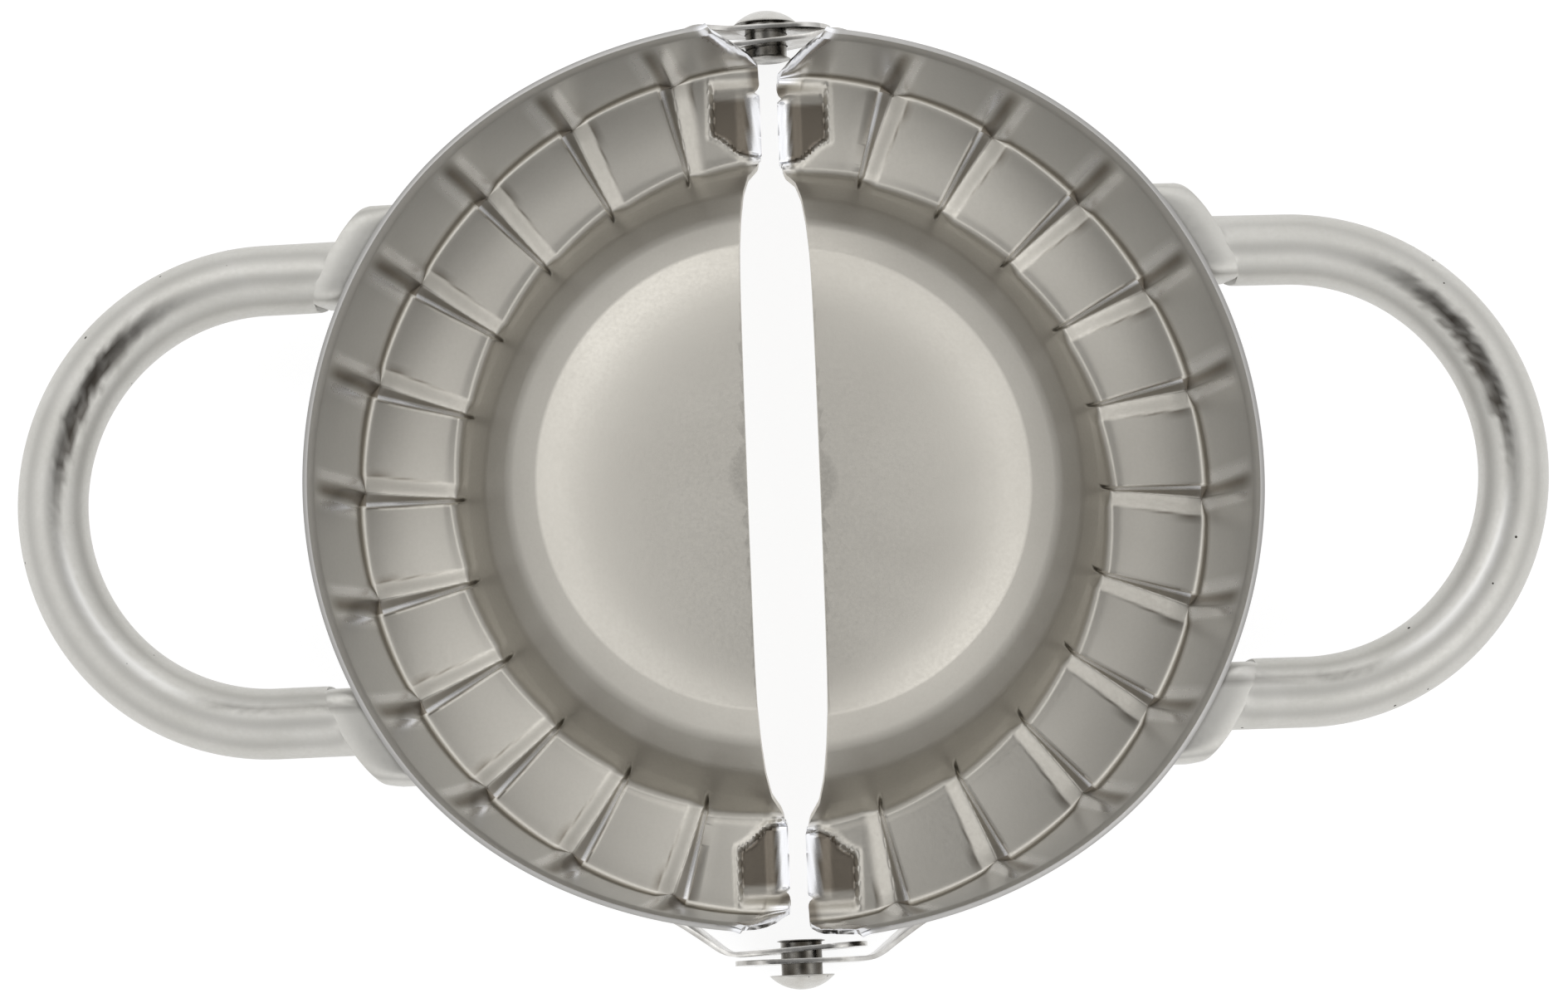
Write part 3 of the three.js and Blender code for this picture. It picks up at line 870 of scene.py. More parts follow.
    def cut_notches(self, piece: Piece) -> None:
        """Cut the slanted notch out of the skirt at both hinges.

        Args:
            piece: The sheet before it gets its thickness.
        """
        Bench.edit(piece)
        Bench.select(Pick.FACES, lambda place: abs(place.y) > self.lip_start
                     and place.z > self.notch_low - self.notch_margin
                     and place.x < 2.0 * self.notch_half_width)
        bpy.ops.mesh.bisect(plane_co=(self.lip_half_gap, 0.0, self.notch_low),
                            plane_no=(-1.0, 0.0, self.notch_slope), clear_outer=True)
        Bench.close()


@dataclass
class RodHandle:
    """The bent rod of one half, with its two squashed and sheared feet on the skirt, in millimetres.

    A station of a foot gives its share of squashing, its inset and its depth from the foot's face. The
    windows of the painted reflection streaks are shares of the way round the bend, from the far foot.
    """

    stamping: Stamping
    rod_diameter: float = 7.5
    rod_spread: float = 47.3
    below_rim: float = 4.55
    length: float = 31.57
    foot_thickness: float = 3.0
    foot_height: float = 7.6
    foot_overhang: float = 3.4
    foot_inset: float = 0.4
    foot_bulge: float = 0.45
    squareness: float = 5.0
    seat: float = 0.04
    sides: int = 48
    bend_steps: int = 90
    smooth_angle: float = 35.0
    station_pitch: float = 0.5
    stations: tuple[tuple[float, float, float], ...] = (
        (0.0, 0.0, 2.2), (0.0, 0.0, 0.8), (0.03, 0.0, 0.35), (0.1, 0.0, 0.08), (0.3, 0.1, 0.0),
        (0.8, 0.4, 0.0), (1.0, 0.4, 0.0), (1.0, 0.1, -0.1), (1.0, 0.0, -0.4), (1.0, 0.0, -1.5),
        (1.0, 0.0, -2.6), (1.0, 0.08, -2.88), (1.0, 0.35, -3.0),
    )
    # Painted reflections: a dark streak along the far arc and a pale one along the near arc of the bend.
    streak_offset_share: float = 0.35
    streak_offset_shares: Stretch = (0.0, 0.4)
    streak_width: float = 0.95
    streak_thin_share: float = 0.45
    streak_thin_shares: Stretch = (0.36, 0.5)
    streak_dark: float = 0.97
    streak_dark_shares: Window = (0.08, 0.26, 0.4, 0.58)
    streak_faint: float = 0.45
    streak_faint_shares: Stretch = (0.84, 0.94)
    streak_pale: float = 0.7
    streak_pale_shares: Window = (0.5, 0.62, 0.8, 0.92)
    streak_roughness: float = 1.4
    streak_ragged_share: float = 0.5
    streak_spot_stops: Stretch = (-0.5, 0.3)
    streak_spot_low: float = 0.7

    def __post_init__(self) -> None:
        """Work out the rod's level and the middle of its bend."""
        self.rod_radius = self.rod_diameter / 2.0
        self.level = self.stamping.rim_level - self.below_rim
        self.bend_radius = self.rod_spread / 2.0
        self.bend_middle = self.stamping.rim_radius + self.length - self.rod_radius - self.bend_radius

    def skirt_radius(self, level: float) -> float:
        """Work out how wide the skirt's outer face is.

        Args:
            level: The height above the drawn ground.

        Returns:
            The radius.
        """
        sizes = self.stamping
        slope = (sizes.skirt_flare - sizes.sheet) / sizes.skirt_height
        return sizes.crease_radius + slope * (level - sizes.back) + sizes.sheet * math.hypot(1.0, slope)

    def footed(self, place: Vector) -> Vector:
        """Squash a point of the straight rod end into the foot that it belongs to.

        Args:
            place: A point of the straight rod.

        Returns:
            The point's new place.
        """
        station = round((self.bend_middle - place.x) / self.station_pitch) - 1
        if station < 0:
            return place
        share, inset, depth = self.stations[min(station, len(self.stations) - 1)]
        side = math.copysign(1.0, place.y)
        turn = math.atan2(place.z - self.level, side * place.y - self.bend_radius)
        round_y, round_z = math.cos(turn), math.sin(turn)
        near = self.bend_radius - self.rod_radius + self.foot_inset
        far = self.bend_radius + self.rod_radius + self.foot_overhang
        half_width, foot_middle = (far - near) / 2.0, (near + far) / 2.0
        power = 2.0 / self.squareness
        wide = math.copysign(abs(round_y) ** power, round_y) * (half_width - inset)
        high = math.copysign(abs(round_z) ** power, round_z) * (self.foot_height / 2.0 - inset)
        y = mix(self.bend_radius, foot_middle, share) + mix(self.rod_radius * round_y, wide, share)
        z = self.level + mix(self.rod_radius * round_z, high, share)
        bulge = self.foot_bulge * (1.0 - ((y - foot_middle) / half_width) ** 2)
        bulge *= 1.0 + min(depth, 0.0) / self.foot_thickness
        radius = self.skirt_radius(z) + self.seat + self.foot_thickness + depth + bulge * share
        return Vector((math.sqrt(radius ** 2 - y ** 2), side * y, z))

    def painted_reflection_streaks(self, place: Vector, far: float) -> tuple[float, float]:
        """Say how much of the painted reflection streaks a place gets: a dark one on the far arc, a pale one
        on the near.

        Args:
            place: A point of the rod.
            far: The sign of the drawn Y that lies at the far hinge.

        Returns:
            How dark and how pale the place is, from 0 to 1.
        """
        if place.z < self.level:
            return 0.0, 0.0
        reach = max(place.x - self.bend_middle, 0.0)
        along = 0.5 - math.atan2(place.y * far, reach) / math.pi
        ragged = noise.noise(place * self.streak_roughness)
        inwards = self.rod_radius * self.streak_offset_share * ease(along, *self.streak_offset_shares)
        width = self.streak_width * (1.0 + self.streak_ragged_share * ragged)
        width *= mix(1.0, self.streak_thin_share, ease(along, *self.streak_thin_shares))
        out = math.hypot(reach, place.y) - self.bend_radius + inwards
        across = math.exp(-(out / width) ** 4)
        dark = max(window(along, self.streak_dark_shares), self.streak_faint * ease(along, *self.streak_faint_shares))
        dark *= self.streak_dark * across * mix(self.streak_spot_low, 1.0, ease(ragged, *self.streak_spot_stops))
        return dark, self.streak_pale * window(along, self.streak_pale_shares) * across

    def mark(self, piece: Piece, far: float) -> None:
        """Paint the dark and pale reflection streaks on a handle whose far hinge lies at the given sign of
        the drawn Y.
        """
        Bench.paint(piece, ("fold", "polish_and_highlight"), lambda place: self.painted_reflection_streaks(place, far))

    def model(self, name: str) -> Piece:
        """Model one drawn handle.

        Args:
            name: The name of the new object.

        Returns:
            The handle, drawn in millimetres.
        """
        Bench.clear()
        bpy.ops.mesh.primitive_circle_add(
            vertices=self.sides, radius=self.rod_radius, rotation=(0.0, math.pi / 2.0, 0.0),
            location=(self.bend_middle, -self.bend_radius, self.level))
        bpy.ops.object.transform_apply(location=True, rotation=True, scale=True)
        piece = bpy.context.object
        Bench.name(piece, name)
        Bench.edit(piece)
        Bench.spin(self.bend_steps, math.pi, Vector((self.bend_middle, 0.0, self.level)), UP, HAIR / 10.0)
        Bench.select(Pick.EDGES, lambda place: place.x < self.bend_middle + HAIR)
        for _ in self.stations:
            bpy.ops.mesh.extrude_region_move(
                TRANSFORM_OT_translate={"value": (-self.station_pitch, 0.0, 0.0)})
        Bench.select_all()
        bpy.ops.mesh.fill_holes(sides=0)
        Bench.close()
        Bench.shape_verts(piece, self.footed)
        Bench.edit(piece)
        Bench.select_all()
        bpy.ops.mesh.normals_make_consistent(inside=False)
        Bench.close()
        Bench.smooth(piece, self.smooth_angle)
        return piece


@dataclass
class HingeStrap:
    """A thin bent strip at the far end of a half: welded pad, joggle and ear, in millimetres."""

    stamping: Stamping
    slant: float
    mirrored: bool
    thickness: float = 0.5
    half_height: float = 4.0
    overshoot: float = 7.1
    standoff: float = 3.9
    ear_start: float = 7.3
    jog_end: float = 12.6
    pad_length: float = 6.6
    pad_low: float = 3.0
    pad_high: float = 10.2
    pad_chamfer: float = 1.0
    hole_diameter: float = 4.66
    bend_reach: float = 0.9
    bend_samples: int = 3
    seat: float = 0.05
    edge_round: float = 0.09
    smooth_angle: float = 35.0
    round_steps: int = 18
    hole_sides: int = 40
    columns: int = 34
    columns_lead: float = 1.5
    columns_margin: float = 0.3

    def __post_init__(self) -> None:
        """Work out where the pad ends and how far the ear is from the middle of the press."""
        self.pad_end = self.jog_end + self.pad_length
        self.ear_place = self.stamping.crease_radius + self.standoff

    def outline(self) -> list[Vector]:
        """Draw up the strap's flat outline, with its round end about the rivet.

        Returns:
            The points of the outline.
        """
        middle = self.half_height - self.overshoot
        cut = self.pad_chamfer
        corners = [
            (0.0, -self.half_height), (self.jog_end, self.pad_low), (self.pad_end - cut, self.pad_low),
            (self.pad_end, self.pad_low + cut), (self.pad_end, self.pad_high - cut),
            (self.pad_end - cut, self.pad_high), (self.jog_end, self.pad_high),
            (self.ear_start / 2.0, self.half_height),
        ]
        for step in range(self.round_steps + 1):
            turn = math.pi / 2.0 + math.pi * step / self.round_steps
            corners.append((middle + self.half_height * math.cos(turn), self.half_height * math.sin(turn)))
        return [Vector((x, 0.0, z)) for x, z in corners]

    def sharp_line(self, x: float, z: float) -> float:
        """Work out the strip's line before its bends are rounded.

        Args:
            x: The distance from the split's middle.
            z: The level.

        Returns:
            The place along Y.
        """
        sizes = self.stamping
        slope = (sizes.skirt_flare_at_hinge - sizes.sheet) / sizes.skirt_height
        pad_radius = sizes.crease_radius + slope * (z - sizes.back)
        pad_radius += sizes.sheet * math.hypot(1.0, slope) + self.seat + self.thickness / 2.0
        if x >= self.jog_end:
            return math.sqrt(pad_radius ** 2 - x ** 2)
        if x <= self.ear_start:
            return self.ear_place - (self.ear_start - x) * math.tan(self.slant)
        pad = math.sqrt(pad_radius ** 2 - self.jog_end ** 2)
        return mix(self.ear_place, pad, (x - self.ear_start) / (self.jog_end - self.ear_start))

    def bent(self, place: Vector) -> Vector:
        """Bend a point of the flat strip to the strap's line.

        Args:
            place: A point of the flat strip.

        Returns:
            The point's new place.
        """
        samples = range(-self.bend_samples, self.bend_samples + 1)
        reach = self.bend_reach / self.bend_samples
        line = sum(self.sharp_line(place.x + reach * step, place.z) for step in samples) / len(samples)
        return Vector((place.x, -line if self.mirrored else line, place.z))

    def model(self, name: str) -> Piece:
        """Model one drawn strap.

        Args:
            name: The name of the new object.

        Returns:
            The strap, drawn in millimetres.
        """
        points = self.outline()
        piece = Bench.line(name, points + points[:1])
        Bench.select_all()
        bpy.ops.mesh.remove_doubles(threshold=HAIR)
        bpy.ops.mesh.primitive_circle_add(vertices=self.hole_sides, radius=self.hole_diameter / 2.0,
                                          rotation=(math.pi / 2.0, 0.0, 0.0), location=(0.0, 0.0, 0.0))
        Bench.select_all()
        bpy.ops.mesh.fill(use_beauty=True)
        for column in range(self.columns):
            x = mix(self.ear_start - self.columns_lead, self.pad_end - self.columns_margin,
                    column / (self.columns - 1))
            Bench.select_all()
            bpy.ops.mesh.bisect(plane_co=(x, 0.0, 0.0), plane_no=(1.0, 0.0, 0.0))
        Bench.select_all()
        bpy.ops.mesh.normals_make_consistent(inside=False)
        Bench.close()
        Bench.shape_verts(piece, self.bent)
        Bench.sheet(piece, self.thickness, 0.0, True)
        Bench.soften(piece, self.edge_round, SHARP_EDGE, self.smooth_angle)
        return piece


@dataclass
class LooseRivet:
    """A loose rivet with its domed head outwards, its shank and its flared inner end, in millimetres."""

    head_place: float
    length: float
    head_diameter: float = 7.0
    head_height: float = 1.545
    shank_diameter: float = 4.4
    flare_diameter: float = 5.3
    flare_length: float = 0.25
    flare_chamfer: float = 0.4
    flare_rise: float = 0.12
    # Painted shade on the shank and at the foot of the head, mottled in facets.
    foot_band: float = 0.2
    foot_dark: float = 0.4
    facet_scale: float = 0.8
    facet_low: float = 0.35
    facet_stops: Stretch = (0.3, 0.7)
    rim_round: float = 0.3
    edge_round: float = 0.08
    sharp_angle: float = 35.0
    smooth_angle: float = 40.0
    dome_steps: int = 12
    spin_steps: int = 72

    def outline(self) -> list[Vector]:
        """Draw up the half outline from the inner end to the head's top.

        Returns:
            The points of the outline.
        """
        head, flare, shank = self.head_diameter / 2.0, self.flare_diameter / 2.0, self.shank_diameter / 2.0
        inner = self.head_place - self.length
        dome = (head ** 2 + self.head_height ** 2) / (2.0 * self.head_height)
        top = self.head_place + self.head_height
        places = [(0.0, inner), (flare - self.flare_chamfer, inner), (flare, inner + self.flare_rise),
                  (shank, inner + self.flare_length), (shank, self.head_place),
                  (head - self.rim_round, self.head_place)]
        for step in range(self.dome_steps + 1):
            turn = math.asin(head / dome) * (1.0 - step / self.dome_steps)
            places.append((dome * math.sin(turn), top - dome * (1.0 - math.cos(turn))))
        return [Vector((radius, along, 0.0)) for radius, along in places]

    def darkness(self, place: Vector) -> tuple[float]:
        """Say how much painted shade a place gets: the shank, mottled in facets, and more faintly the foot
        of the head.

        Args:
            place: A point of the rivet.

        Returns:
            The share alone, from 0 to 1.
        """
        dark = fade(place.y, self.head_place, self.head_place + self.foot_band)
        facets = 0.5 + 0.5 * noise.noise(place * self.facet_scale)
        on_head = place.y > self.head_place - TOUCH
        if on_head and math.hypot(place.x, place.z) > self.flare_diameter / 2.0:
            dark *= self.foot_dark
        return (dark * mix(self.facet_low, 1.0, ease(facets, *self.facet_stops)),)

    def model(self, name: str) -> Piece:
        """Model one drawn rivet.

        Args:
            name: The name of the new object.

        Returns:
            The rivet at the far end, drawn in millimetres about the hinge axis.
        """
        piece = Bench.line(name, self.outline())
        Bench.spin(self.spin_steps, 2.0 * math.pi, Vector(), AHEAD)
        Bench.close()
        # Paint the shade into the fold mark.
        Bench.paint(piece, ("fold",), self.darkness)
        Bench.soften(piece, self.edge_round, self.sharp_angle, self.smooth_angle)
        return piece


class Wiring:
    """A node tree, with short ways to add its nodes, each filled or linked as it is added."""

    def __init__(self, tree: Tree) -> None:
        """Take up a tree."""
        self.tree = tree

    @classmethod
    def fresh(cls, owner: bpy.types.ID) -> "Wiring":
        """Take up the emptied tree of a material or a world.

        Args:
            owner: The material or world.

        Returns:
            The wiring of its tree.
        """
        owner.use_nodes = True
        owner.node_tree.nodes.clear()
        return cls(owner.node_tree)

    def join(self, value: object, socket: Socket) -> None:
        """Feed a socket with an output, a node's first output, a colour or a plain value.

        Args:
            value: What the socket gets.
            socket: The input socket.
        """
        if isinstance(value, bpy.types.Node):
            value = value.outputs[0]
        if isinstance(value, Socket):
            self.tree.links.new(value, socket)
        elif socket.type == "RGBA":
            socket.default_value = (*value, 1.0)
        else:
            socket.default_value = value

    def add(self, kind: str, *values: object, **inputs: object) -> bpy.types.Node:
        """Add a node and feed its inputs.

        Args:
            kind: The node's type, without the word for its tree.
            values: What the first inputs get, in order.
            inputs: What named inputs get, with underscores for spaces.

        Returns:
            The new node.
        """
        node = self.tree.nodes.new(f"ShaderNode{kind}")
        for value, socket in zip(values, node.inputs):
            self.join(value, socket)
        for name, value in inputs.items():
            self.join(value, node.inputs[name.replace("_", " ")])
        return node

    def math(self, operation: str, *values: object, clamp: bool = False) -> bpy.types.Node:
        """Add a math node.

        Args:
            operation: What it does with its values.
            values: Numbers or outputs.
            clamp: Whether the result is kept from 0 to 1.

        Returns:
            The new node.
        """
        node = self.add("Math", *values)
        node.operation = operation
        node.use_clamp = clamp
        return node

    def blend(self, share: object, first: object, second: Colour) -> Socket:
        """Mix two colours by a share.

        Args:
            share: The share of the second colour.
            first: The first colour, plain or from an output.
            second: The second colour.

        Returns:
            The colour in between.
        """
        node = self.add("Mix")
        node.data_type = "RGBA"
        for place, value in zip(MIX_INPUTS, (share, first, second)):
            self.join(value, node.inputs[place])
        return node.outputs[MIX_OUTPUT]

    def mark(self, name: str) -> Socket:
        """Read one of the marks that the mesh carries.

        Args:
            name: The name of the mark.

        Returns:
            The mark's strength.
        """
        node = self.add("Attribute")
        node.attribute_name = name
        return node.outputs["Fac"]

    def place(self, group: Tree, **inputs: object) -> dict[str, Socket]:
        """Place an effect group and give its outputs by name.

        Args:
            group: The group.
            inputs: What its inputs get, by name.

        Returns:
            The group's outputs.
        """
        node = self.add("Group")
        node.node_tree = group
        for name, value in inputs.items():
            self.join(value, node.inputs[name])
        return dict(node.outputs.items())


class Effect(Wiring):
    """An effect group under way: it takes a place and named numbers, and gives named numbers."""

    def __init__(self, name: str, *numbers: str) -> None:
        """Start the group with its inputs.

        Args:
            name: The group's name.
            numbers: The names of its numbers.
        """
        super().__init__(bpy.data.node_groups.new(name, "ShaderNodeTree"))
        kinds = {"Place": "NodeSocketVector"} | {number: "NodeSocketFloat" for number in numbers}
        for label, kind in kinds.items():
            self.tree.interface.new_socket(name=label, in_out="INPUT", socket_type=kind)
        self.given = self.tree.nodes.new("NodeGroupInput").outputs

    def end(self, **results: object) -> Tree:
        """End the group with its results.

        Args:
            results: The results by name.

        Returns:
            The group's tree.
        """
        for label in results:
            self.tree.interface.new_socket(name=label, in_out="OUTPUT", socket_type="NodeSocketFloat")
        output = self.tree.nodes.new("NodeGroupOutput")
        for label, value in results.items():
            self.join(value, output.inputs[label])
        return self.tree


@dataclass
class EffectGroups:
    """The node groups that several finishes use, each built once."""

    grain: Tree = field(init=False)
    smudges: Tree = field(init=False)
    pits: Tree = field(init=False)
    grain_detail: float = 4.0
    grain_roughness: float = 0.65
    smudge_detail: float = 3.0
    smudge_roughness: float = 0.5
    smudge_distortion: float = 0.6
    smudge_middle: float = 0.5

    def __post_init__(self) -> None:
        """Build the groups."""
        self.grain = self.build_grain()
        self.smudges = self.build_smudges()
        self.pits = self.build_pits()

    def build_grain(self) -> Tree:
        """Build the fine matt grain of rolled and pressed sheet.

        Returns:
            The group, which gives a height and a mask.
        """
        net = Effect("matt_grain", "Scale", "Depth")
        fine = net.add("TexNoise", Vector=net.given["Place"], Scale=net.given["Scale"],
                       Detail=self.grain_detail, Roughness=self.grain_roughness)
        return net.end(Height=net.math("MULTIPLY", fine, net.given["Depth"]), Mask=fine)

    def build_smudges(self) -> Tree:
        """Build the broad, soft unevenness of a handled surface.

        Returns:
            The group, which gives a mask from 0 to 1.
        """
        net = Effect("handling_smudges", "Scale", "Contrast")
        broad = net.add("TexNoise", Vector=net.given["Place"], Scale=net.given["Scale"],
                        Detail=self.smudge_detail, Roughness=self.smudge_roughness,
                        Distortion=self.smudge_distortion)
        off = net.math("SUBTRACT", broad, self.smudge_middle)
        spread = net.math("MULTIPLY", off, net.given["Contrast"])
        return net.end(Mask=net.math("ADD", spread, self.smudge_middle, clamp=True))

    def build_pits(self) -> Tree:
        """Build sparse small pits and specks.

        Returns:
            The group, which gives a mask that is 1 in a pit.
        """
        net = Effect("sparse_pits", "Scale", "Size", "Share")
        cells = net.add("TexVoronoi", Vector=net.given["Place"], Scale=net.given["Scale"])
        split = net.add("SeparateColor", Color=cells.outputs["Color"])
        chosen = net.math("LESS_THAN", split.outputs["Red"], net.given["Share"])
        size = net.math("MULTIPLY", split.outputs["Green"], net.given["Size"])
        inside = net.math("LESS_THAN", cells.outputs["Distance"], size)
        return net.end(Mask=net.math("MULTIPLY", chosen, inside))


@dataclass(frozen=True)
class SteelFinish:
    """A satin or bright stainless finish, with painted shade, painted highlight and a painted skirt tone
    where the mesh carries them.
    """

    name: str
    clean: Colour
    dulled: Colour
    roughness: Stretch
    grain_scale: float
    grain_depth: float
    smudge_scale: float
    smudge_contrast: float
    pit_scale: float = 300.0
    pit_size: float = 0.0
    pit_share: float = 0.0
    pit_depth: float = 0.00003
    pit_colour: Colour = (0.05, 0.045, 0.04)
    speckle: float = 0.6
    grain_range: Stretch = (0.3, 0.7)
    tints: tuple[tuple[str, Colour], ...] = ()
    polished_roughness: float = 0.14

    def build(self, groups: EffectGroups) -> bpy.types.Material:
        """Make the material from the shared effects.

        Args:
            groups: The shared effects.

        Returns:
            The material.
        """
        material = bpy.data.materials.new(self.name)
        material.use_nodes = True
        net = Wiring(material.node_tree)
        shader = net.tree.nodes["Principled BSDF"]
        place = net.add("TexCoord").outputs["Object"]
        grain = net.place(groups.grain, Place=place, Scale=self.grain_scale, Depth=self.grain_depth)
        smudges = net.place(groups.smudges, Place=place, Scale=self.smudge_scale,
                            Contrast=self.smudge_contrast)
        pits = net.place(groups.pits, Place=place, Scale=self.pit_scale, Size=self.pit_size,
                         Share=self.pit_share)
        speckled = net.math("MULTIPLY_ADD", grain["Mask"], self.speckle, -self.speckle / 2.0)
        dull = net.math("ADD", smudges["Mask"], speckled, clamp=True)
        colour = net.blend(pits["Mask"], net.blend(dull, self.clean, self.dulled), self.pit_colour)
        rough = net.add("MapRange", grain["Mask"], *self.grain_range, *self.roughness)
        # Paint the light and shade that the mesh carries into the colour.
        for mark, tint in self.tints:
            colour = net.blend(net.mark(mark), colour, tint)
        if self.tints:
            rough = net.add("MapRange", Value=net.mark("polish_and_highlight"), To_Min=rough,
                            To_Max=self.polished_roughness)
        sunk = net.math("MULTIPLY", pits["Mask"], -self.pit_depth)
        height = net.math("ADD", grain["Height"], sunk)
        bump = net.add("Bump", Height=height, Strength=1.0, Distance=1.0)
        looks = {"Base Color": colour, "Metallic": 1.0, "Roughness": rough, "Normal": bump}
        for name, value in looks.items():
            net.join(value, shader.inputs[name])
        return material


@dataclass
class Studio:
    """The pale floor, the soft light and the camera at the photograph's angle."""

    tilt: float = math.radians(5.8)
    roll: float = math.radians(2.22)
    distance: float = 0.6
    lens: float = 129.83
    sensor: float = 36.0
    nearest: float = 0.01
    target: Vector = field(default_factory=lambda: Vector((-0.00002, -0.00139, 0.012)))
    floor_size: float = 3.0
    floor_level: float = -0.0001
    floor_pale: float = 0.8
    floor_seen: float = 0.25
    floor_glow: float = 0.86
    background: float = 1.0
    stand_lean: float = math.radians(20.0)
    stand_near: float = math.radians(7.0)
    stand_far: float = math.radians(14.0)
    stand_level: float = 0.1
    tent_stops: tuple[Stretch, ...] = ((0.0, 0.6), (0.3, 0.75), (0.6, 0.98), (0.78, 1.25), (0.88, 1.12),
                                       (0.96, 0.36), (1.0, 0.26))
    boxes: tuple[tuple[str, tuple[float, float, float], float, float], ...] = (
        ("key_box", (-0.45, 0.5, 0.75), 0.5, 0.3),
        ("fill_box", (0.6, -0.35, 0.6), 0.45, 0.3),
        ("back_box", (0.15, 0.75, 0.35), 0.4, 0.2),
    )

    def build(self) -> None:
        """Build the whole studio."""
        bpy.context.scene.view_settings.view_transform = "Standard"
        self.build_floor()
        self.build_world()
        self.build_lamps()
        self.build_camera()

    def build_floor(self) -> None:
        """Lay the floor: white to the camera and to reflections, with a soft shadow, and open from below."""
        Bench.clear()
        bpy.ops.mesh.primitive_plane_add(size=self.floor_size, location=(0.0, 0.0, self.floor_level))
        floor = bpy.context.object
        floor.name = "floor"
        material = bpy.data.materials.new("white_floor")
        net = Wiring.fresh(material)
        path = net.add("LightPath").outputs
        direct = net.math("MAXIMUM", path["Is Camera Ray"], path["Is Glossy Ray"])
        seen = net.math("MAXIMUM", direct, path["Is Transmission Ray"])
        plain = net.add("BsdfDiffuse", Color=(self.floor_pale,) * 3)
        shaded = net.add("BsdfDiffuse", Color=(self.floor_seen,) * 3)
        glow = net.add("Emission", Color=WHITE, Strength=self.floor_glow)
        above = net.add("MixShader", seen, plain, net.add("AddShader", shaded, glow))
        below = net.add("NewGeometry").outputs["Backfacing"]
        net.add("OutputMaterial", Surface=net.add("MixShader", below, above, net.add("BsdfTransparent")))
        floor.data.materials.append(material)

    def build_world(self) -> None:
        """Surround the press with a light tent that is darker overhead, the more towards the near side."""
        world = bpy.data.worlds.new("light_tent")
        bpy.context.scene.world = world
        net = Wiring.fresh(world)
        place = net.add("TexCoord").outputs["Generated"]
        ramp = net.add("ValToRGB", net.add("SeparateXYZ", place).outputs["Z"])
        elements = ramp.color_ramp.elements
        for along, _ in self.tent_stops[1:-1]:
            elements.new(along)
        for element, (_, level) in zip(elements, self.tent_stops):
            element.color = (level, level, level, 1.0)
        aim = net.add("VectorMath", place, (0.0, -math.sin(self.stand_lean), math.cos(self.stand_lean)))
        aim.operation = "DOT_PRODUCT"
        level = net.add("MapRange", aim.outputs["Value"], math.cos(self.stand_far),
                        math.cos(self.stand_near), 1.0, self.stand_level)
        tent = net.add("Background", ramp, level)
        white = net.add("Background", WHITE, self.background)
        seen = net.add("LightPath").outputs["Is Camera Ray"]
        net.add("OutputWorld", Surface=net.add("MixShader", seen, tent, white))

    def build_lamps(self) -> None:
        """Hang the soft boxes round the press."""
        for name, place, size, power in self.boxes:
            lamp = bpy.data.lights.new(name, "AREA")
            lamp.energy = power
            lamp.size = size
            box = bpy.data.objects.new(name, lamp)
            bpy.context.scene.collection.objects.link(box)
            box.location = place
            box.rotation_euler = (-Vector(place)).to_track_quat("-Z", "Y").to_euler()

    def build_camera(self) -> None:
        """Set the camera nearly overhead, tipped towards the near rivet and rolled as in the photo."""
        lens = bpy.data.cameras.new("camera")
        lens.lens = self.lens
        lens.sensor_width = self.sensor
        lens.clip_start = self.nearest
        camera = bpy.data.objects.new("camera", lens)
        bpy.context.scene.collection.objects.link(camera)
        up = Vector((math.sin(self.roll), math.cos(self.roll), 0.0))
        back = UP * math.cos(self.tilt) - up * math.sin(self.tilt)
        right = up.cross(back).normalized()
        turn = Matrix((right, back.cross(right), back)).transposed().to_4x4()
        camera.matrix_world = Matrix.Translation(self.target + back * self.distance) @ turn
        bpy.context.scene.camera = camera


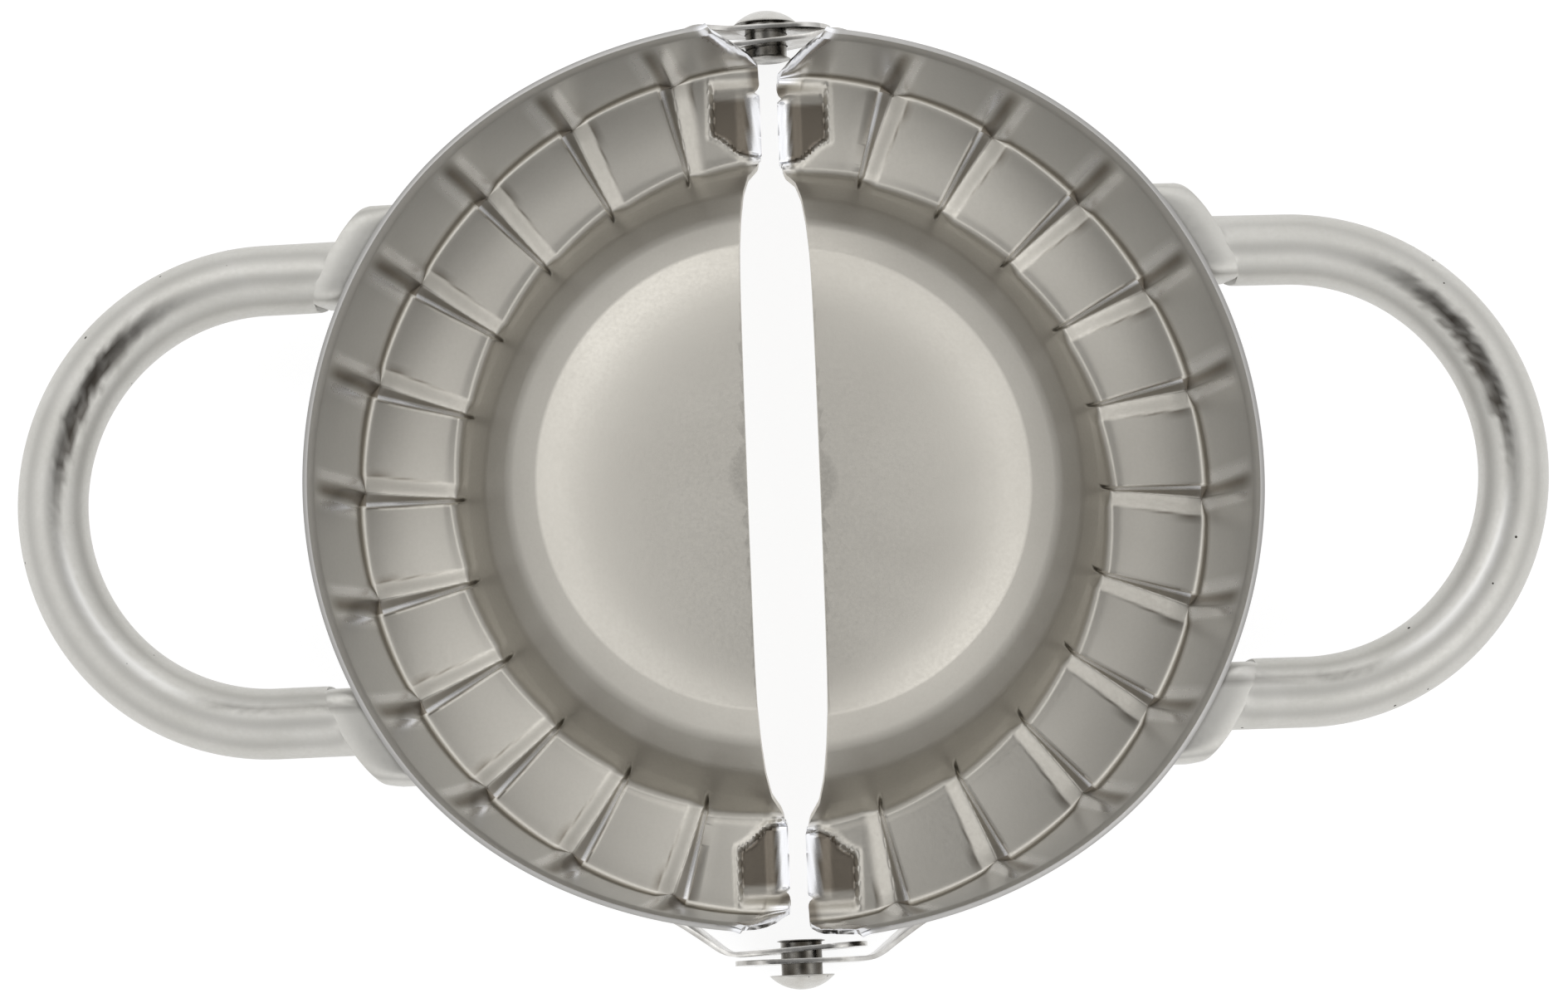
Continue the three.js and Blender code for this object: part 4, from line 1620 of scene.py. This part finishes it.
@dataclass
class DumplingPress:
    """The whole press: both halves with all that is welded to them, and the two loose rivets."""

    hinge: Vector
    half_offset: float = 0.42
    inner_slant: float = math.radians(3.2)
    far_inner_slant: float = math.radians(5.5)
    rivets: tuple[tuple[End, float, float], ...] = ((End.FAR, 0.55, 3.9), (End.NEAR, 1.2, 3.75))
    stamping: Stamping = field(default_factory=Stamping)

    def __post_init__(self) -> None:
        """Work out the droop of the halves and prepare their straps and finishes."""
        sizes = self.stamping
        self.inner_strap = HingeStrap(sizes, self.inner_slant, False)
        self.slanted_strap = HingeStrap(sizes, self.far_inner_slant, False)
        self.outer_strap = HingeStrap(sizes, 0.0, True)
        fillet = sizes.crease_fillet + sizes.sheet
        drop = sizes.axis_drop + fillet + self.inner_strap.half_height
        reach = math.hypot(drop, sizes.flat_radius)
        self.droop = math.acos(fillet / reach) - math.atan2(sizes.flat_radius, drop)
        groups = EffectGroups()
        self.shell_steels = [PRESSED_STEEL.build(groups), SHEARED_EDGE.build(groups)]
        self.rod_steels = [ROD_STEEL.build(groups)]
        self.strap_steels = [STRAP_STEEL.build(groups), STRAP_EDGE.build(groups)]
        self.rivet_steels = [RIVET_STEEL.build(groups)]

    def finish(self, piece: Piece, node: str, body: str, place: Matrix,
               materials: list[bpy.types.Material]) -> None:
        """Bring a drawn piece to its place, dress it and hand it to its body.

        Args:
            piece: The drawn piece.
            node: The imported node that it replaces.
            body: The body that it rides on.
            place: The transform from millimetres as drawn to metres in place.
            materials: The materials of its slots.
        """
        piece.data.transform(place)
        piece.data.update()
        Bench.name(piece, f"{node}_steel")
        piece.data.materials.clear()
        for material in materials:
            piece.data.materials.append(material)
        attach(piece, body)
        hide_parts(node)
        LOG.info("%s: %d faces", piece.name, len(piece.data.polygons))

    def build_halves(self) -> None:
        """Model each piece of a half once, and place it and its copy."""
        rod = RodHandle(self.stamping)
        right, left = Side.RIGHT, Side.LEFT
        drawn = [
            (self.stamping, "pressed_steel", self.shell_steels, {right: "shell", left: "shell"}),
            (rod, "rod_steel", self.rod_steels, {right: "handle", left: "handle"}),
            (self.slanted_strap, "strap_steel", self.strap_steels, {right: "hinge_strap_far"}),
            (self.inner_strap, "strap_steel", self.strap_steels, {left: "hinge_strap_near"}),
            (self.outer_strap, "strap_steel", self.strap_steels,
             {right: "hinge_strap_near", left: "hinge_strap_far"}),
        ]
        for maker, slot, materials, names in drawn:
            piece = maker.model("drawn_piece")
            copies = [piece] + [Bench.copy(piece) for _ in range(len(names) - 1)]
            for (side, name), half in zip(names.items(), copies):
                # Paint the reflection streaks on each handle.
                if maker is rod:
                    rod.mark(half, math.cos(side.value))
                place = HalfPlacement(side, self.hinge, self.droop, self.half_offset)
                self.finish(half, place.node(name), place.body(), place.matrix(), materials)

    def build_rivets(self) -> None:
        """Model both rivets on the hinge axis, each a little way out from its outer ear."""
        strap = self.outer_strap
        ear_face = strap.ear_place + self.half_offset + strap.thickness / 2.0
        for end, out, length in self.rivets:
            label = end.name.lower()
            piece = LooseRivet(ear_face + out, length).model("drawn_rivet")
            turn = Matrix.Rotation(end.value, 4, "Z")
            place = Matrix.Translation(self.hinge) @ turn @ Matrix.Scale(MILLIMETRE, 4)
            self.finish(piece, f"rivet_{label}", f"{label}_rivet", place, self.rivet_steels)


PRESSED_STEEL = SteelFinish(
    name="satin_pressed_steel",
    clean=(0.63, 0.605, 0.55), dulled=(0.55, 0.525, 0.475), roughness=(0.32, 0.42),
    grain_scale=2600.0, grain_depth=0.000005, smudge_scale=45.0, smudge_contrast=1.8,
    # Tints: a painted cooler grey tone on the skirt, painted shade, and painted highlight.
    tints=(("skirt", (0.57, 0.57, 0.565)), ("fold", (0.16, 0.135, 0.105)), ("polish_and_highlight", (0.79, 0.795, 0.82))),
)
SHEARED_EDGE = SteelFinish(
    name="bright_sheared_edge",
    clean=(0.64, 0.57, 0.46), dulled=(0.38, 0.32, 0.245), roughness=(0.2, 0.4),
    grain_scale=1800.0, grain_depth=0.000006, smudge_scale=900.0, smudge_contrast=2.5,
)
ROD_STEEL = SteelFinish(
    name="satin_rod_steel",
    clean=(0.61, 0.6, 0.57), dulled=(0.55, 0.54, 0.505), roughness=(0.36, 0.46),
    grain_scale=2200.0, grain_depth=0.0000005, smudge_scale=120.0, smudge_contrast=2.0,
    pit_scale=1100.0, pit_size=0.2, pit_share=0.05,
    # Painted reflections: the dark streak and the pale streak on the rod.
    tints=(("fold", (0.05, 0.042, 0.034)), ("polish_and_highlight", (0.78, 0.775, 0.76))),
    polished_roughness=0.3,
)
STRAP_STEEL = SteelFinish(
    name="bright_strap_steel",
    clean=(0.66, 0.65, 0.63), dulled=(0.4, 0.385, 0.36), roughness=(0.12, 0.26),
    grain_scale=1800.0, grain_depth=0.000004, smudge_scale=260.0, smudge_contrast=2.6,
)
STRAP_EDGE = SteelFinish(
    name="sheared_strap_edge",
    clean=(0.5, 0.48, 0.44), dulled=(0.24, 0.22, 0.2), roughness=(0.18, 0.34),
    grain_scale=1800.0, grain_depth=0.000004, smudge_scale=420.0, smudge_contrast=3.0,
)
RIVET_STEEL = SteelFinish(
    name="satin_rivet_steel",
    clean=(0.62, 0.61, 0.585), dulled=(0.52, 0.505, 0.47), roughness=(0.2, 0.36),
    grain_scale=2200.0, grain_depth=0.0000015, smudge_scale=400.0, smudge_contrast=2.4,
    pit_scale=1500.0, pit_size=0.25, pit_share=0.1,
    # Painted shade on the shank and at the foot of the head.
    tints=(("fold", (0.1, 0.09, 0.075)),),
)


def main() -> None:
    """Build the press and its studio."""
    logging.basicConfig(level=logging.INFO, format="%(name)s: %(message)s")
    fold = next(joint for joint in frame["joints"] if joint["name"] == "press_fold")
    press = DumplingPress(Vector(fold["pos_m"]))
    press.build_halves()
    press.build_rivets()
    Studio().build()


if __name__ == "__main__":
    main()
